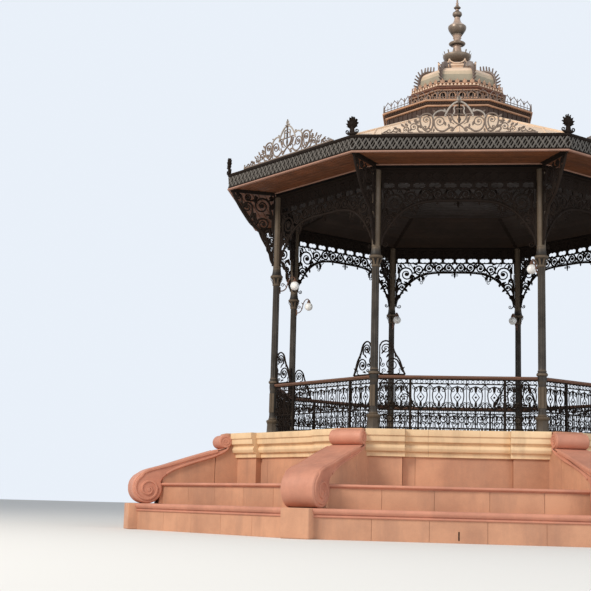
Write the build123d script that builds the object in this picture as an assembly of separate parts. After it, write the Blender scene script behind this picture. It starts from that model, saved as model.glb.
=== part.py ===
from build123d import *
from math import atan2, cos, degrees, hypot, pi, radians, sin, tan
import os

# Octagonal iron bandstand on a stone platform.
# Millimetres, +Z up, origin on the ground below the finial.
# Side 1 and corner 1 face -Y; numbers run anticlockwise seen from above.

SIDES = 8
TURN = 360 / SIDES
HALF = pi / SIDES

# Plan of the platform
COLUMN_SIDE = 3300            # side of the octagon through the column axes
WALL_OUT = 870                # from the column line out to the dado wall face
WALL_THICK = 640
WALL_BREAK = 130              # how far the middle of each wall stands back
WALL_BREAK_HALF = 1040        # half the length that stands back
CORNICE_BREAK_HALF = 860
CORNICE_OVERHANG = 180
FLOOR_BEARING = 320           # floor slab carried on the wall
UPPER_TREAD = 1520            # ledge above, from the dado wall to its nosing
LOWER_TREAD = 477
NOSING_OVERHANG = 60
UPPER_NOSING = 61             # depth of the rounded edge
LOWER_NOSING = 110

# Scroll buttresses
BUTTRESS_WIDTH = 670
PEDESTAL_BLOCK_WIDTH = 575
PEDESTAL_BLOCK_OUT = 375      # block front beyond the centre of the lower roll
LOWER_ROLL = 315
LOWER_ROLL_OUT = 2743         # from the column axis out to the centre of the lower roll
UPPER_ROLL = 147
UPPER_ROLL_OUT = 1108
UPPER_ROLL_DROP = 28          # top of the upper roll below the floor

# Plan of the roof
EAVES_REACH = 1105            # from the column line out to the fascia
FASCIA_THICK = 60
CEILING_FLAT_APOTHEM = 2700
LANTERN_APOTHEM = 1690        # lower drum of the lantern
LANTERN_WALL = 120
ARCADE_APOTHEM = 1070         # upper drum of the lantern
ARCADE_WALL = 90
DOME_APOTHEM = 900
DOME_TOP = 410
FINIAL_RADIUS = 340

# Heights of the parts, one on another
LOWER_LEDGE_RISE = 536
UPPER_LEDGE_RISE = 433
DADO_RISE = 567               # wall that shows above the upper ledge
CORNICE_RISE = 519
FLOOR_THICK = 160
RAIL_RISE = 1125
SHAFT_RISE = 2385             # handrail to capital
CAPITAL_RISE = 204
SPRING_RISE = 41              # capital to the foot of the arch
ARCH_RISE = 910
SCROLL_BAND_RISE = 290
SLOT_BAND_RISE = 108
LATTICE_RISE = 272
BEAM_RISE = 100
FASCIA_RISE = 335
ROOF_RISE = 1535
DRUM_RISE = 190
DRUM_CORNICE_RISE = 90
SKIRT_RISE = 202
ARCADE_RISE = 216
UPPER_CORNICE_RISE = 287
DOME_RISE = 575
COLLAR_RISE = 200
FINIAL_RISE = 1915
CEILING_RISE = 535
CREST_RISE = 867
GALLERY_RISE = 240
PALMETTE_RISE = 423

# Sections of the columns
BASE_WIDTH = 280
BASE_RISE = 345
PEDESTAL_WIDTH = 180
PEDESTAL_ABOVE = 120          # pedestal that shows above the handrail
SHAFT_WIDTH = 158
SHAFT_TOP_WIDTH = 150
NECK_RISE = 45
CAPITAL_WIDTH = 277
CAPITAL_RING = 40
POST_WIDTH = 165

# Sections of the openwork and the sheets
PANEL_THICK = 44
FRAME_BAR = 52                # width of a panel's frame
BAR = 30                      # width of a lattice bar
ROD = 26
SHEET = 40                    # boards, roof cover and dome
SOFFIT_THICK = 30
RAIL_WIDTH = 120
RAIL_DEPTH = 60
RAILING_CLEAR = 90            # below the lowest rail
LOWER_BAND = 350              # low band of the railing, below its lattice
RAIL_POST_OUT = 927           # from the middle of a side to a railing post
RAIL_SCROLL_RISE = 716
RAIL_SCROLL_REACH = 537
CREST_HALF = 1520
CREST_THICK = 36
CREST_INSET = 25              # crest and palmettes behind the fascia's face
GALLERY_THICK = 24
PALMETTE_HALF = 114
RIB_WIDTH = 40
RIB_DEPTH = 45
CROCKET = 75                  # hooked leaf along a dome rib

# Lamps
LAMP_ARM = 340
LAMP_BELOW = 280              # foot of the arm below the capital
LAMP_LIFT = 300               # from the foot of the arm up to its tip
HOOD_WIDTH = 70
HOOD_DEPTH = 80
GLOBE = 200

# Counts
RAILING_CROSSES = 2           # lattice crosses in the middle bay of a railing
BAND_LOZENGES = 5             # openings along the scroll band of a frieze
LATTICE_BAYS = 3
GALLERY_TEETH = 6
RAIL_SCROLL_CORNERS = (0, 2, 3, 4, 5, 6, 7)
LAMP_CORNERS = (1, 2, 3, 4, 5, 6, 7)

# Profiles, as shares of the sizes they belong to
CORNICE_PROFILE = ((1, 0), (1, 0.24), (0.86, 0.28), (0.86, 0.46), (0.53, 0.54), (0.45, 0.82), (0.15, 0.88),
                   (0.15, 1))
BAND_LINE = ((0, 0), (0.606, 0.407), (0.871, 0.596), (0.987, 0.81), (1, 1))
ARCH_STATIONS = (0, 0.5, 0.76, 0.91, 1)
BRACKET_LINE = ((0, 0), (0.095, 0.235), (0.229, 0.42), (0.496, 0.534), (0.725, 0.733), (1, 1))
RAIL_SCROLL_EDGE = ((0, 0), (1, 0), (0.89, 0.17), (0.78, 0.44), (0.59, 0.64), (0.45, 0.93), (0.15, 1), (0, 0.88))
RAIL_SCROLL_EYE = ((0.1, 0.07), (0.8, 0.07), (0.62, 0.4), (0.1, 0.5))
CREST_ARCH = ((-0.14, 0), (-0.18, 0.45), (0, 1), (0.18, 0.45), (0.14, 0))
CREST_EYE = ((-0.1, 0.06), (-0.13, 0.42), (0, 0.8), (0.13, 0.42), (0.1, 0.06))
CREST_TAIL = ((0.4, 0), (0.45, 0.38), (0.6, 0.29), (1, 0.06), (1, 0))
PALMETTE_EDGE = ((0.5, 0), (0.5, 0.16), (0.92, 0.35), (1, 0.6), (0.45, 0.87), (0, 1))
DOME_STATIONS = (0, 0.22, 0.45, 0.7, 1)
UPPER_CORNICE = ((0.3, 0), (1, 0.2), (1, 0.35), (-0.3, 0.45), (-0.3, 0.7), (0.3, 0.85), (0.3, 1))
UPPER_CORNICE_OVERHANG = 70
FINIAL_LEVELS = ((0.47, 0), (0.88, 0.036), (1, 0.086), (0.82, 0.13), (0.35, 0.15), (0.26, 0.21), (0.57, 0.235),
                 (0.57, 0.265), (0.25, 0.3), (0.32, 0.335), (0.64, 0.44), (0.65, 0.465), (0.32, 0.53), (0.2, 0.595),
                 (0.34, 0.627), (0.32, 0.67), (0.12, 0.7), (0.25, 0.72), (0.16, 0.745), (0.06, 0.755), (0.05, 1))
GLOBE_LEVELS = ((0.383, -0.924), (0.924, -0.383), (0.924, 0.383), (0.383, 0.924))

# Heights above the ground
upper_ledge_z = LOWER_LEDGE_RISE + UPPER_LEDGE_RISE
cornice_z = upper_ledge_z + DADO_RISE
floor_z = cornice_z + CORNICE_RISE
base_z = floor_z + BASE_RISE
rail_z = floor_z + RAIL_RISE
capital_z = rail_z + SHAFT_RISE
post_z = capital_z + CAPITAL_RISE
spring_z = post_z + SPRING_RISE
crown_z = spring_z + ARCH_RISE
slot_z = crown_z + SCROLL_BAND_RISE
lattice_z = slot_z + SLOT_BAND_RISE
beam_z = lattice_z + LATTICE_RISE
soffit_z = beam_z + BEAM_RISE
eaves_z = soffit_z + FASCIA_RISE
drum_z = eaves_z + ROOF_RISE
drum_cornice_z = drum_z + DRUM_RISE
skirt_z = drum_cornice_z + DRUM_CORNICE_RISE
arcade_z = skirt_z + SKIRT_RISE
upper_cornice_z = arcade_z + ARCADE_RISE
dome_z = upper_cornice_z + UPPER_CORNICE_RISE
collar_z = dome_z + DOME_RISE
finial_z = collar_z + COLLAR_RISE
lamp_z = capital_z - LAMP_BELOW

# Distances from the centre
column_apothem = COLUMN_SIDE / 2 / tan(HALF)
column_radius = column_apothem / cos(HALF)
eaves_apothem = column_apothem + EAVES_REACH
fascia_inner = eaves_apothem - FASCIA_THICK
crest_apothem = eaves_apothem - CREST_INSET
wall_apothem = column_apothem + WALL_OUT
wall_inner = wall_apothem - WALL_THICK
cornice_apothem = wall_apothem + CORNICE_OVERHANG
slab_apothem = wall_inner + FLOOR_BEARING
upper_apothem = wall_apothem + UPPER_TREAD
lower_apothem = upper_apothem + LOWER_TREAD
post_out = POST_WIDTH / 2 / cos(HALF)
post_half = COLUMN_SIDE / 2 - POST_WIDTH / 2
rail_half = COLUMN_SIDE / 2 - PEDESTAL_WIDTH / 2
base_half = COLUMN_SIDE / 2 - BASE_WIDTH / 2

os.makedirs("parts", exist_ok=True)


def save(name, solids):
    """Write one named piece, or like pieces that share a node."""
    solids = list(solids)
    shape = solids[0] if len(solids) == 1 else Compound(children=solids)
    export_step(shape, f"parts/{name}.step")


def polygon(points):
    return make_face(Polyline(*points, close=True))


def box_face(x0, x1, z0, z1):
    return Pos((x0 + x1) / 2, (z0 + z1) / 2) * Rectangle(x1 - x0, z1 - z0)


def fused(shapes):
    shapes = list(shapes)
    return shapes[0].fuse(*shapes[1:]) if len(shapes) > 1 else shapes[0]


def turned(levels, start=0):
    """Eight-sided stack of (distance to the flats, height) levels with flat ends."""
    rings = []
    for flat, height in levels:
        radius = flat / cos(HALF)
        angles = [radians(start + TURN * corner) for corner in range(SIDES)]
        rings.append([(radius * cos(angle), radius * sin(angle), height) for angle in angles])
    faces = [Face(Wire.make_polygon(rings[0])), Face(Wire.make_polygon(rings[-1]))]
    for low, high in zip(rings, rings[1:]):
        for corner in range(SIDES):
            after = (corner + 1) % SIDES
            faces.append(Face(Wire.make_polygon([low[corner], low[after], high[after], high[corner]])))
    return Solid(Shell(faces))


def mitred(profile):
    """Carry a closed profile of (apothem, height) points round all eight sides."""
    faces = []
    for side in range(SIDES):
        ends = [radians(TURN * (side + end) - 90 - TURN / 2) for end in (0, 1)]
        for index, (near, low) in enumerate(profile):
            far, high = profile[(index + 1) % len(profile)]
            corners = [(near, low, ends[0]), (near, low, ends[1]), (far, high, ends[1]), (far, high, ends[0])]
            points = [(a / cos(HALF) * cos(t), a / cos(HALF) * sin(t), z) for a, z, t in corners]
            faces.append(Face(Wire.make_polygon(points)))
    return Solid(Shell(faces))


def plate(apothem, bottom, top):
    return turned([(apothem, bottom), (apothem, top)], TURN / 2)


def round_sides(make):
    """Eight copies of a front piece, one on each side."""
    return [Rot(0, 0, TURN * side) * make for side in range(SIDES)]


def round_corners(make, corners=range(SIDES)):
    """Copies of a piece that is drawn along +X, turned to the corners."""
    return [Rot(0, 0, TURN * corner - 90 - TURN / 2) * make for corner in corners]


def panel(sketch, apothem, thick=PANEL_THICK):
    """Openwork sketch in side and height, cut from plate and stood on the front side."""
    return Pos(0, -apothem, 0) * extrude(Plane.XZ * sketch, thick / 2, both=True)


def radial(sketch, thick):
    """Sketch in radius and height, cut from plate that points out to a corner."""
    return extrude(Plane.XZ * sketch, thick / 2, both=True)


def bar(start, end, width):
    """Straight bar of a panel from point to point."""
    length = hypot(end[0] - start[0], end[1] - start[1])
    middle = ((start[0] + end[0]) / 2, (start[1] + end[1]) / 2)
    angle = degrees(atan2(end[1] - start[1], end[0] - start[0]))
    return Pos(*middle) * Rot(0, 0, angle) * Rectangle(length, width)


def ribbon(points, width):
    """Strip of even width on the left of a line of points."""
    edge = []
    for index, (x, z) in enumerate(points):
        before, after = points[max(index - 1, 0)], points[min(index + 1, len(points) - 1)]
        step = (after[0] - before[0], after[1] - before[1])
        length = hypot(*step)
        edge.append((x - step[1] / length * width, z + step[0] / length * width))
    return polygon([*points, *reversed(edge)])


def ring(centre, radius, width, sides=6):
    """Few-sided ring of a panel, which stands for one turn of scroll."""
    return Pos(*centre) * (RegularPolygon(radius, sides) - RegularPolygon(radius - width, sides))


def cross(x0, x1, z0, z1):
    """Two crossed bars of a lattice."""
    return [bar((x0, z0), (x1, z1), ROD), bar((x1, z0), (x0, z1), ROD)]


def half_bay(apothem, corner_gap):
    """Half the length of a side between two upright planes beside the corner lines."""
    return apothem * tan(HALF) - corner_gap / cos(HALF)


def bay(apothem_in, apothem_out, corner_gap, bottom, top):
    """Prism between two corner pieces on the front side."""
    near, far = half_bay(apothem_in, corner_gap), half_bay(apothem_out, corner_gap)
    outline = polygon([(-near, -apothem_in), (near, -apothem_in), (far, -apothem_out), (-far, -apothem_out)])
    return Pos(0, 0, bottom) * extrude(outline, top - bottom)


def run(profile, half_length):
    """Moulding of (apothem, height) points along the front side."""
    section = polygon([(-apothem, height) for apothem, height in profile])
    return extrude(Plane.YZ * section, half_length, both=True)


# Stone platform
def dado_wall():
    wall = bay(wall_inner, wall_apothem, BUTTRESS_WIDTH / 2, 0, cornice_z)
    recess = Pos(0, -wall_apothem, (upper_ledge_z + cornice_z) / 2) * Box(
        2 * WALL_BREAK_HALF, 2 * WALL_BREAK, cornice_z - upper_ledge_z)
    return wall - recess


def cornice_run(set_back):
    """Fascia, bands and fillet, from the top down."""
    face = wall_apothem - set_back
    front = [(face + out * CORNICE_OVERHANG, floor_z - down * CORNICE_RISE) for out, down in CORNICE_PROFILE]
    back = [(wall_inner, cornice_z), (wall_inner, floor_z - FLOOR_THICK), (slab_apothem, floor_z - FLOOR_THICK),
            (slab_apothem, floor_z)]
    return run(front + back, COLUMN_SIDE)


def platform_cornice():
    whole = bay(wall_inner, cornice_apothem, BUTTRESS_WIDTH / 2, cornice_z, floor_z)
    middle = Pos(0, -cornice_apothem, (cornice_z + floor_z) / 2) * Box(
        2 * CORNICE_BREAK_HALF, 2 * cornice_apothem, CORNICE_RISE)
    return whole & ((cornice_run(0) - middle) + (cornice_run(WALL_BREAK) & middle))


def ledge(apothem_in, apothem_out, top, nosing, corner_gap):
    """Broad step with a chamfered nosing over its riser."""
    face = apothem_out - NOSING_OVERHANG
    profile = [(apothem_in, 0), (face, 0), (face, top - nosing), (apothem_out, top - 0.8 * nosing),
               (apothem_out, top - 0.25 * nosing), (apothem_out - 0.25 * nosing, top), (apothem_in, top)]
    return run(profile, COLUMN_SIDE) & bay(apothem_in, apothem_out, corner_gap, 0, top)


def scroll_buttress():
    """Radial console: a broad band from a small roll at floor level to a big roll below."""
    upper = (column_radius + UPPER_ROLL_OUT, floor_z - UPPER_ROLL_DROP - UPPER_ROLL)
    lower = (column_radius + LOWER_ROLL_OUT, LOWER_LEDGE_RISE + LOWER_ROLL)
    inner = wall_inner / cos(HALF)
    seat = slab_apothem / cos(HALF)
    neck = (upper[0] + 1.12 * UPPER_ROLL, upper[1] - 1.2 * UPPER_ROLL)
    reach = lower[0] + LOWER_ROLL - neck[0]
    drop = neck[1] - lower[1]
    band = [(neck[0] + out * reach, neck[1] - down * drop) for out, down in BAND_LINE]
    foot = [(lower[0] + LOWER_ROLL * cos(radians(a)), lower[1] + LOWER_ROLL * sin(radians(a)))
            for a in (-90, -67.5, -45, -22.5)]
    head = [(upper[0] + UPPER_ROLL * cos(radians(a)), upper[1] + UPPER_ROLL * sin(radians(a)))
            for a in (-90, -45, 0, 45, 90)]
    outline = [(inner, LOWER_LEDGE_RISE), *foot, *reversed(band), *head, (upper[0], floor_z), (seat, floor_z),
               (seat, floor_z - FLOOR_THICK), (inner, floor_z - FLOOR_THICK)]
    return radial(polygon(outline), BUTTRESS_WIDTH)


def buttress_pedestal():
    front = column_radius + LOWER_ROLL_OUT + PEDESTAL_BLOCK_OUT
    inner = wall_inner / cos(HALF)
    return Pos((inner + front) / 2, 0, LOWER_LEDGE_RISE / 2) * Box(
        front - inner, PEDESTAL_BLOCK_WIDTH, LOWER_LEDGE_RISE)


# Columns
def column():
    """Base block, pedestal, tapered shaft, capital and post, up to the ring beam."""
    levels = [(BASE_WIDTH, floor_z), (BASE_WIDTH, base_z), (PEDESTAL_WIDTH, base_z),
              (PEDESTAL_WIDTH, rail_z + PEDESTAL_ABOVE), (SHAFT_WIDTH, rail_z + PEDESTAL_ABOVE),
              (SHAFT_TOP_WIDTH, capital_z - NECK_RISE), (CAPITAL_WIDTH, capital_z),
              (CAPITAL_WIDTH, capital_z + CAPITAL_RING), (POST_WIDTH, post_z), (POST_WIDTH, beam_z)]
    return Pos(column_radius, 0, 0) * turned([(width / 2, height) for width, height in levels])


# Railings
def railing():
    """Three openwork bays between two columns, with posts at the bay ends."""
    low, high = floor_z + RAILING_CLEAR, rail_z - RAIL_DEPTH
    middle = low + LOWER_BAND
    bars = [box_face(-rail_half, rail_half, z - ROD / 2, z + ROD / 2) for z in (low, middle)]
    bars.append(box_face(-rail_half, rail_half, high - ROD, high))
    bars += [box_face(x - FRAME_BAR / 2, x + FRAME_BAR / 2, floor_z, high) for x in (-RAIL_POST_OUT, RAIL_POST_OUT)]
    stations = [-rail_half, -RAIL_POST_OUT, RAIL_POST_OUT, rail_half]
    for count, left, right in zip((1, RAILING_CROSSES, 1), stations, stations[1:]):
        pitch = (right - left) / count
        for index in range(count):
            bars += cross(left + index * pitch, left + (index + 1) * pitch, middle, high - ROD / 2)
    clear = fused([box_face(-rail_half, rail_half, base_z, high), box_face(-base_half, base_half, floor_z, base_z)])
    return panel(fused(bars) & clear, column_apothem)


def handrail():
    across = [(-0.5, -1), (0.5, -1), (0.5, -0.3), (0.3, 0), (-0.3, 0), (-0.5, -0.3)]
    return run([(column_apothem + out * RAIL_WIDTH, rail_z + up * RAIL_DEPTH) for out, up in across], rail_half)


def rail_scroll(hand):
    """Pierced scroll that stands on the handrail against the column."""
    def placed(points):
        return polygon([(rail_half - out * RAIL_SCROLL_REACH, rail_z + up * RAIL_SCROLL_RISE) for out, up in points])
    eye = Pos(rail_half - 0.27 * RAIL_SCROLL_REACH, rail_z + 0.74 * RAIL_SCROLL_RISE) * RegularPolygon(
        0.16 * RAIL_SCROLL_REACH, 5)
    shape = placed(RAIL_SCROLL_EDGE) - placed(RAIL_SCROLL_EYE) - eye
    return panel(shape if hand > 0 else mirror(shape, Plane.YZ), column_apothem)


# Arches and friezes
def arch_point(share):
    """Point on the underside of the arch, flat at the crown and steep at the foot."""
    return (share * post_half, crown_z - ARCH_RISE * share ** 4)


def spandrel(hand):
    """Half an arch rib with a scroll in its corner and a leaf below it."""
    rib = ribbon([arch_point(share) for share in ARCH_STATIONS], FRAME_BAR)
    scroll = (0.87 * post_half, crown_z - 0.39 * ARCH_RISE)
    radius = 0.135 * ARCH_RISE
    leaf_x, leaf_z = arch_point(0.55)
    leaf = polygon([(leaf_x - radius, leaf_z + BAR), (leaf_x + radius / 2, leaf_z + BAR), (leaf_x, leaf_z - 2 * radius)])
    shape = fused([rib, ring(scroll, radius, BAR), leaf]) & box_face(0, post_half, spring_z, crown_z)
    return panel(shape if hand > 0 else mirror(shape, Plane.YZ), column_apothem)


def frieze():
    """Pierced scroll band below and braced lattice above, in one frame between two posts."""
    shape = box_face(-post_half, post_half, crown_z, beam_z)
    room = SCROLL_BAND_RISE - FRAME_BAR
    pitch = 2 * post_half / BAND_LOZENGES
    middle = crown_z + FRAME_BAR + room / 2
    for index in range(BAND_LOZENGES):
        centre = Pos(-post_half + (index + 0.5) * pitch, middle)
        shape -= centre * polygon([(-0.42 * pitch, 0), (0, -0.45 * room), (0.42 * pitch, 0), (0, 0.45 * room)])
    opening = box_face(FRAME_BAR - post_half, post_half - FRAME_BAR, lattice_z, beam_z - FRAME_BAR)
    pitch = 2 * (post_half - FRAME_BAR) / LATTICE_BAYS
    bars = []
    for index in range(LATTICE_BAYS):
        left = FRAME_BAR - post_half + index * pitch
        peak = (left + pitch / 2, beam_z - FRAME_BAR)
        bars += [bar((left, lattice_z), peak, ROD), bar(peak, (left + pitch, lattice_z), ROD)]
    return panel(shape - (opening - fused(bars)), column_apothem)


def eaves_bracket():
    """Radial scroll bracket from the post out to the eaves."""
    start = column_radius + post_out
    reach = (fascia_inner - SOFFIT_THICK) / cos(HALF) - start
    drop = soffit_z - spring_z
    line = [(start + out * reach, spring_z + up * drop) for out, up in BRACKET_LINE]
    scroll = (start + 0.27 * reach, soffit_z - 0.19 * drop)
    shapes = [ribbon(line, FRAME_BAR), box_face(start, start + BAR, spring_z, soffit_z),
              box_face(start, start + reach, soffit_z - FRAME_BAR, soffit_z), ring(scroll, 0.17 * drop, BAR)]
    limit = polygon([*line, (start, soffit_z)])
    return radial(fused(shapes) & limit, PANEL_THICK)


# Roof
def ring_beam():
    out, inn = column_apothem + POST_WIDTH / 2, column_apothem - POST_WIDTH / 2
    return mitred([(inn, beam_z), (out, beam_z), (out, soffit_z), (inn, soffit_z)])


def soffit():
    inn = column_apothem - POST_WIDTH / 2
    return mitred([(inn, soffit_z), (fascia_inner, soffit_z), (fascia_inner, soffit_z + SOFFIT_THICK),
                   (inn, soffit_z + SOFFIT_THICK)])


def ceiling_slope():
    out = column_apothem - POST_WIDTH / 2
    return mitred([(out, beam_z), (out, beam_z + SHEET), (CEILING_FLAT_APOTHEM, beam_z + CEILING_RISE + SHEET),
                   (CEILING_FLAT_APOTHEM, beam_z + CEILING_RISE)])


def ceiling_centre():
    return plate(CEILING_FLAT_APOTHEM, beam_z + CEILING_RISE, beam_z + CEILING_RISE + SHEET)


def eaves_fascia():
    """Board with a moulding at its foot and a lip at its head."""
    foot, lip = soffit_z - SOFFIT_THICK, eaves_z - FASCIA_THICK
    inset = FASCIA_THICK / 2
    return mitred([(fascia_inner, foot), (eaves_apothem, foot), (eaves_apothem, soffit_z + inset),
                   (eaves_apothem - inset, soffit_z + FASCIA_THICK), (eaves_apothem - inset, lip),
                   (eaves_apothem, lip + inset), (eaves_apothem, eaves_z), (fascia_inner, eaves_z)])


def roof_cover():
    head = LANTERN_APOTHEM - LANTERN_WALL - SHEET
    return mitred([(fascia_inner, eaves_z - SHEET), (fascia_inner, eaves_z), (LANTERN_APOTHEM, drum_z), (head, drum_z),
                   (head, drum_z - SHEET), (LANTERN_APOTHEM, drum_z - SHEET)])


def roof_crest():
    """Cresting along one side of the eaves: a pointed arch between scrolls and tapering tails."""
    def placed(points, hand=1):
        return polygon([(hand * out * CREST_HALF, eaves_z + up * CREST_RISE) for out, up in points])
    shapes = [placed(CREST_ARCH) - placed(CREST_EYE), box_face(-CREST_HALF, CREST_HALF, eaves_z, eaves_z + FRAME_BAR)]
    for hand in (-1, 1):
        scroll = (hand * 0.34 * CREST_HALF, eaves_z + 0.25 * CREST_RISE)
        shapes += [placed(CREST_TAIL, hand), ring(scroll, 0.25 * CREST_RISE, BAR)]
    limit = box_face(-CREST_HALF, CREST_HALF, eaves_z, eaves_z + CREST_RISE)
    return panel(fused(shapes) & limit, crest_apothem, CREST_THICK)


def corner_palmette():
    """Leaf-shaped plate at each corner of the eaves."""
    right = [(out * PALMETTE_HALF, up * PALMETTE_RISE) for out, up in PALMETTE_EDGE]
    left = [(-x, z) for x, z in reversed(right[:-1])]
    leaf = extrude(Plane.YZ * polygon(right + left), FASCIA_THICK / 2, both=True)
    return Pos(crest_apothem / cos(HALF), 0, eaves_z) * leaf


# Lantern
def lantern_drum():
    out = LANTERN_APOTHEM - SHEET
    inn = out - LANTERN_WALL
    return mitred([(inn, drum_z), (out, drum_z), (out, drum_cornice_z), (inn, drum_cornice_z)])


def lantern_cornice():
    """Moulding of the lower drum, a shelf for the gallery and the skirt up to the arcade."""
    out = LANTERN_APOTHEM + SHEET
    inn = LANTERN_APOTHEM - SHEET - LANTERN_WALL
    rise = DRUM_CORNICE_RISE
    return mitred([(inn, drum_cornice_z), (LANTERN_APOTHEM, drum_cornice_z), (out, drum_cornice_z + 0.67 * rise),
                   (out, skirt_z), (out - FASCIA_THICK, skirt_z), (ARCADE_APOTHEM + SHEET, arcade_z),
                   (ARCADE_APOTHEM - ARCADE_WALL, arcade_z), (inn, drum_cornice_z + 0.67 * rise)])


def gallery_crest():
    apothem = LANTERN_APOTHEM + SHEET - FASCIA_THICK / 2
    half = apothem * tan(HALF) - GALLERY_THICK
    pitch = 2 * half / GALLERY_TEETH
    outline = [(-half, skirt_z), (half, skirt_z)]
    for index in range(GALLERY_TEETH):
        right = half - index * pitch
        outline += [(right, skirt_z + 0.3 * GALLERY_RISE), (right - pitch / 2, skirt_z + GALLERY_RISE)]
    outline.append((-half, skirt_z + 0.3 * GALLERY_RISE))
    return panel(polygon(outline), apothem, GALLERY_THICK)


def arcade_band():
    out, inn = ARCADE_APOTHEM, ARCADE_APOTHEM - ARCADE_WALL
    sill = 0.16 * ARCADE_RISE
    return mitred([(inn, arcade_z), (out + SHEET, arcade_z), (out + SHEET, arcade_z + sill), (out, arcade_z + sill),
                   (out, upper_cornice_z), (inn, upper_cornice_z)])


def upper_cornice():
    """Moulding of the upper drum, carried in to the foot of the dome."""
    front = [(ARCADE_APOTHEM + out * UPPER_CORNICE_OVERHANG, upper_cornice_z + up * UPPER_CORNICE_RISE)
             for out, up in UPPER_CORNICE]
    inn = DOME_APOTHEM - FASCIA_THICK
    back = [(inn, dome_z), (inn, dome_z - SHEET), (ARCADE_APOTHEM - ARCADE_WALL, upper_cornice_z)]
    return mitred(front + back)


def dome_line(share):
    """Point of the dome's curve, from its foot to its collar."""
    angle = share * pi / 2
    return (DOME_TOP + (DOME_APOTHEM - DOME_TOP) * cos(angle), dome_z + DOME_RISE * sin(angle))


def dome():
    outer = [dome_line(share) for share in DOME_STATIONS]
    inner = [(apothem - SHEET, height) for apothem, height in outer]
    return mitred(outer + list(reversed(inner)))


def dome_rib():
    """Hip rib with hooked leaves along it."""
    points = [(apothem / cos(HALF), height) for apothem, height in map(dome_line, reversed(DOME_STATIONS[:-1]))]
    shape = ribbon(points, RIB_DEPTH)
    for r, z in points[1:]:
        shape += polygon([(r, z), (r + RIB_DEPTH + CROCKET, z + CROCKET), (r, z + CROCKET)])
    return radial(shape, RIB_WIDTH)


def collar():
    out = DOME_TOP + RIB_DEPTH / 2
    foot = finial_levels()[0][0]
    return mitred([(DOME_TOP - SHEET, collar_z), (out, collar_z), (out, collar_z + 0.2 * COLLAR_RISE),
                   (DOME_TOP, finial_z), (foot / 2, finial_z), (foot / 2, finial_z - SHEET),
                   (DOME_TOP - SHEET, finial_z - SHEET)])


def finial_levels():
    return [(out * FINIAL_RADIUS, finial_z + up * FINIAL_RISE) for out, up in FINIAL_LEVELS]


def finial():
    """Stack of bowls and vases, ending in a rod."""
    return turned(finial_levels(), TURN / 2)


# Lamps
def shaft_edge(height):
    """Distance from the column axis to the edge of its tapered shaft."""
    foot, head = rail_z + PEDESTAL_ABOVE, capital_z - NECK_RISE
    share = (height - foot) / (head - foot)
    return (SHAFT_WIDTH + (SHAFT_TOP_WIDTH - SHAFT_WIDTH) * share) / 2 / cos(HALF)


def lamp_start():
    return column_radius - shaft_edge(lamp_z - HOOD_DEPTH)


def lamp_arm():
    """Swan-neck arm on the inner side of a column, with a hood at its end."""
    start = lamp_start()
    tip = start - LAMP_ARM
    top = lamp_z + LAMP_LIFT
    line = [(start, lamp_z), (start - 0.35 * LAMP_ARM, lamp_z + 0.15 * LAMP_LIFT),
            (start - 0.6 * LAMP_ARM, lamp_z + 0.85 * LAMP_LIFT), (tip, top)]
    shapes = [ribbon(line[::-1], ROD), box_face(start - ROD, start, lamp_z - HOOD_DEPTH, lamp_z + HOOD_DEPTH),
              box_face(tip - HOOD_WIDTH / 2, tip + HOOD_WIDTH / 2, top - HOOD_DEPTH, top)]
    limit = box_face(tip - HOOD_WIDTH, start, lamp_z - HOOD_DEPTH, top + ROD)
    return radial(fused(shapes) & limit, ROD)


def lamp_globe():
    """Opal ball that hangs from the hood."""
    radius = GLOBE / 2
    centre = lamp_z + LAMP_LIFT - HOOD_DEPTH - GLOBE_LEVELS[-1][1] * radius
    levels = [(out * radius, centre + up * radius) for out, up in GLOBE_LEVELS]
    return Pos(lamp_start() - LAMP_ARM, 0, 0) * turned(levels)


save("dado_walls", round_sides(dado_wall()))
save("platform_cornice", round_sides(platform_cornice()))
save("upper_ledge", round_sides(
    ledge(wall_apothem, upper_apothem, upper_ledge_z, UPPER_NOSING, BUTTRESS_WIDTH / 2)))
save("lower_ledge", round_sides(
    ledge(upper_apothem - NOSING_OVERHANG, lower_apothem, LOWER_LEDGE_RISE, LOWER_NOSING, PEDESTAL_BLOCK_WIDTH / 2)))
save("scroll_buttresses", round_corners(scroll_buttress()))
save("buttress_pedestals", round_corners(buttress_pedestal()))
save("floor_slab", [plate(slab_apothem, floor_z - FLOOR_THICK, floor_z)])
for number, shape in enumerate(round_corners(column()), 1):
    save(f"column_{number}", [shape])
for number, shape in enumerate(round_sides(railing()), 1):
    save(f"railing_{number}", [shape])
for number, shape in enumerate(round_sides(frieze()), 1):
    save(f"frieze_{number}", [shape])
save("handrails", round_sides(handrail()))
save("rail_scrolls", [Rot(0, 0, TURN * corner) * rail_scroll(-1) for corner in RAIL_SCROLL_CORNERS]
     + [Rot(0, 0, TURN * (corner - 1)) * rail_scroll(1) for corner in RAIL_SCROLL_CORNERS])
save("arch_spandrels", round_sides(spandrel(1)) + round_sides(spandrel(-1)))
save("eaves_brackets", round_corners(eaves_bracket()))
save("ring_beam", [ring_beam()])
save("eaves_soffit", [soffit()])
save("ceiling_slope", [ceiling_slope()])
save("ceiling_centre", [ceiling_centre()])
save("eaves_fascia", [eaves_fascia()])
save("roof_cover", [roof_cover()])
save("roof_crests", round_sides(roof_crest()))
save("corner_palmettes", round_corners(corner_palmette()))
save("lantern_drum", [lantern_drum()])
save("lantern_cornice", [lantern_cornice()])
save("gallery_crest", round_sides(gallery_crest()))
save("arcade_band", [arcade_band()])
save("upper_cornice", [upper_cornice()])
save("dome", [dome()])
save("dome_ribs", round_corners(dome_rib()))
save("dome_collar", [collar()])
save("finial", [finial()])
save("lamp_arms", round_corners(lamp_arm(), LAMP_CORNERS))
save("lamp_globes", round_corners(lamp_globe(), LAMP_CORNERS))
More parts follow.
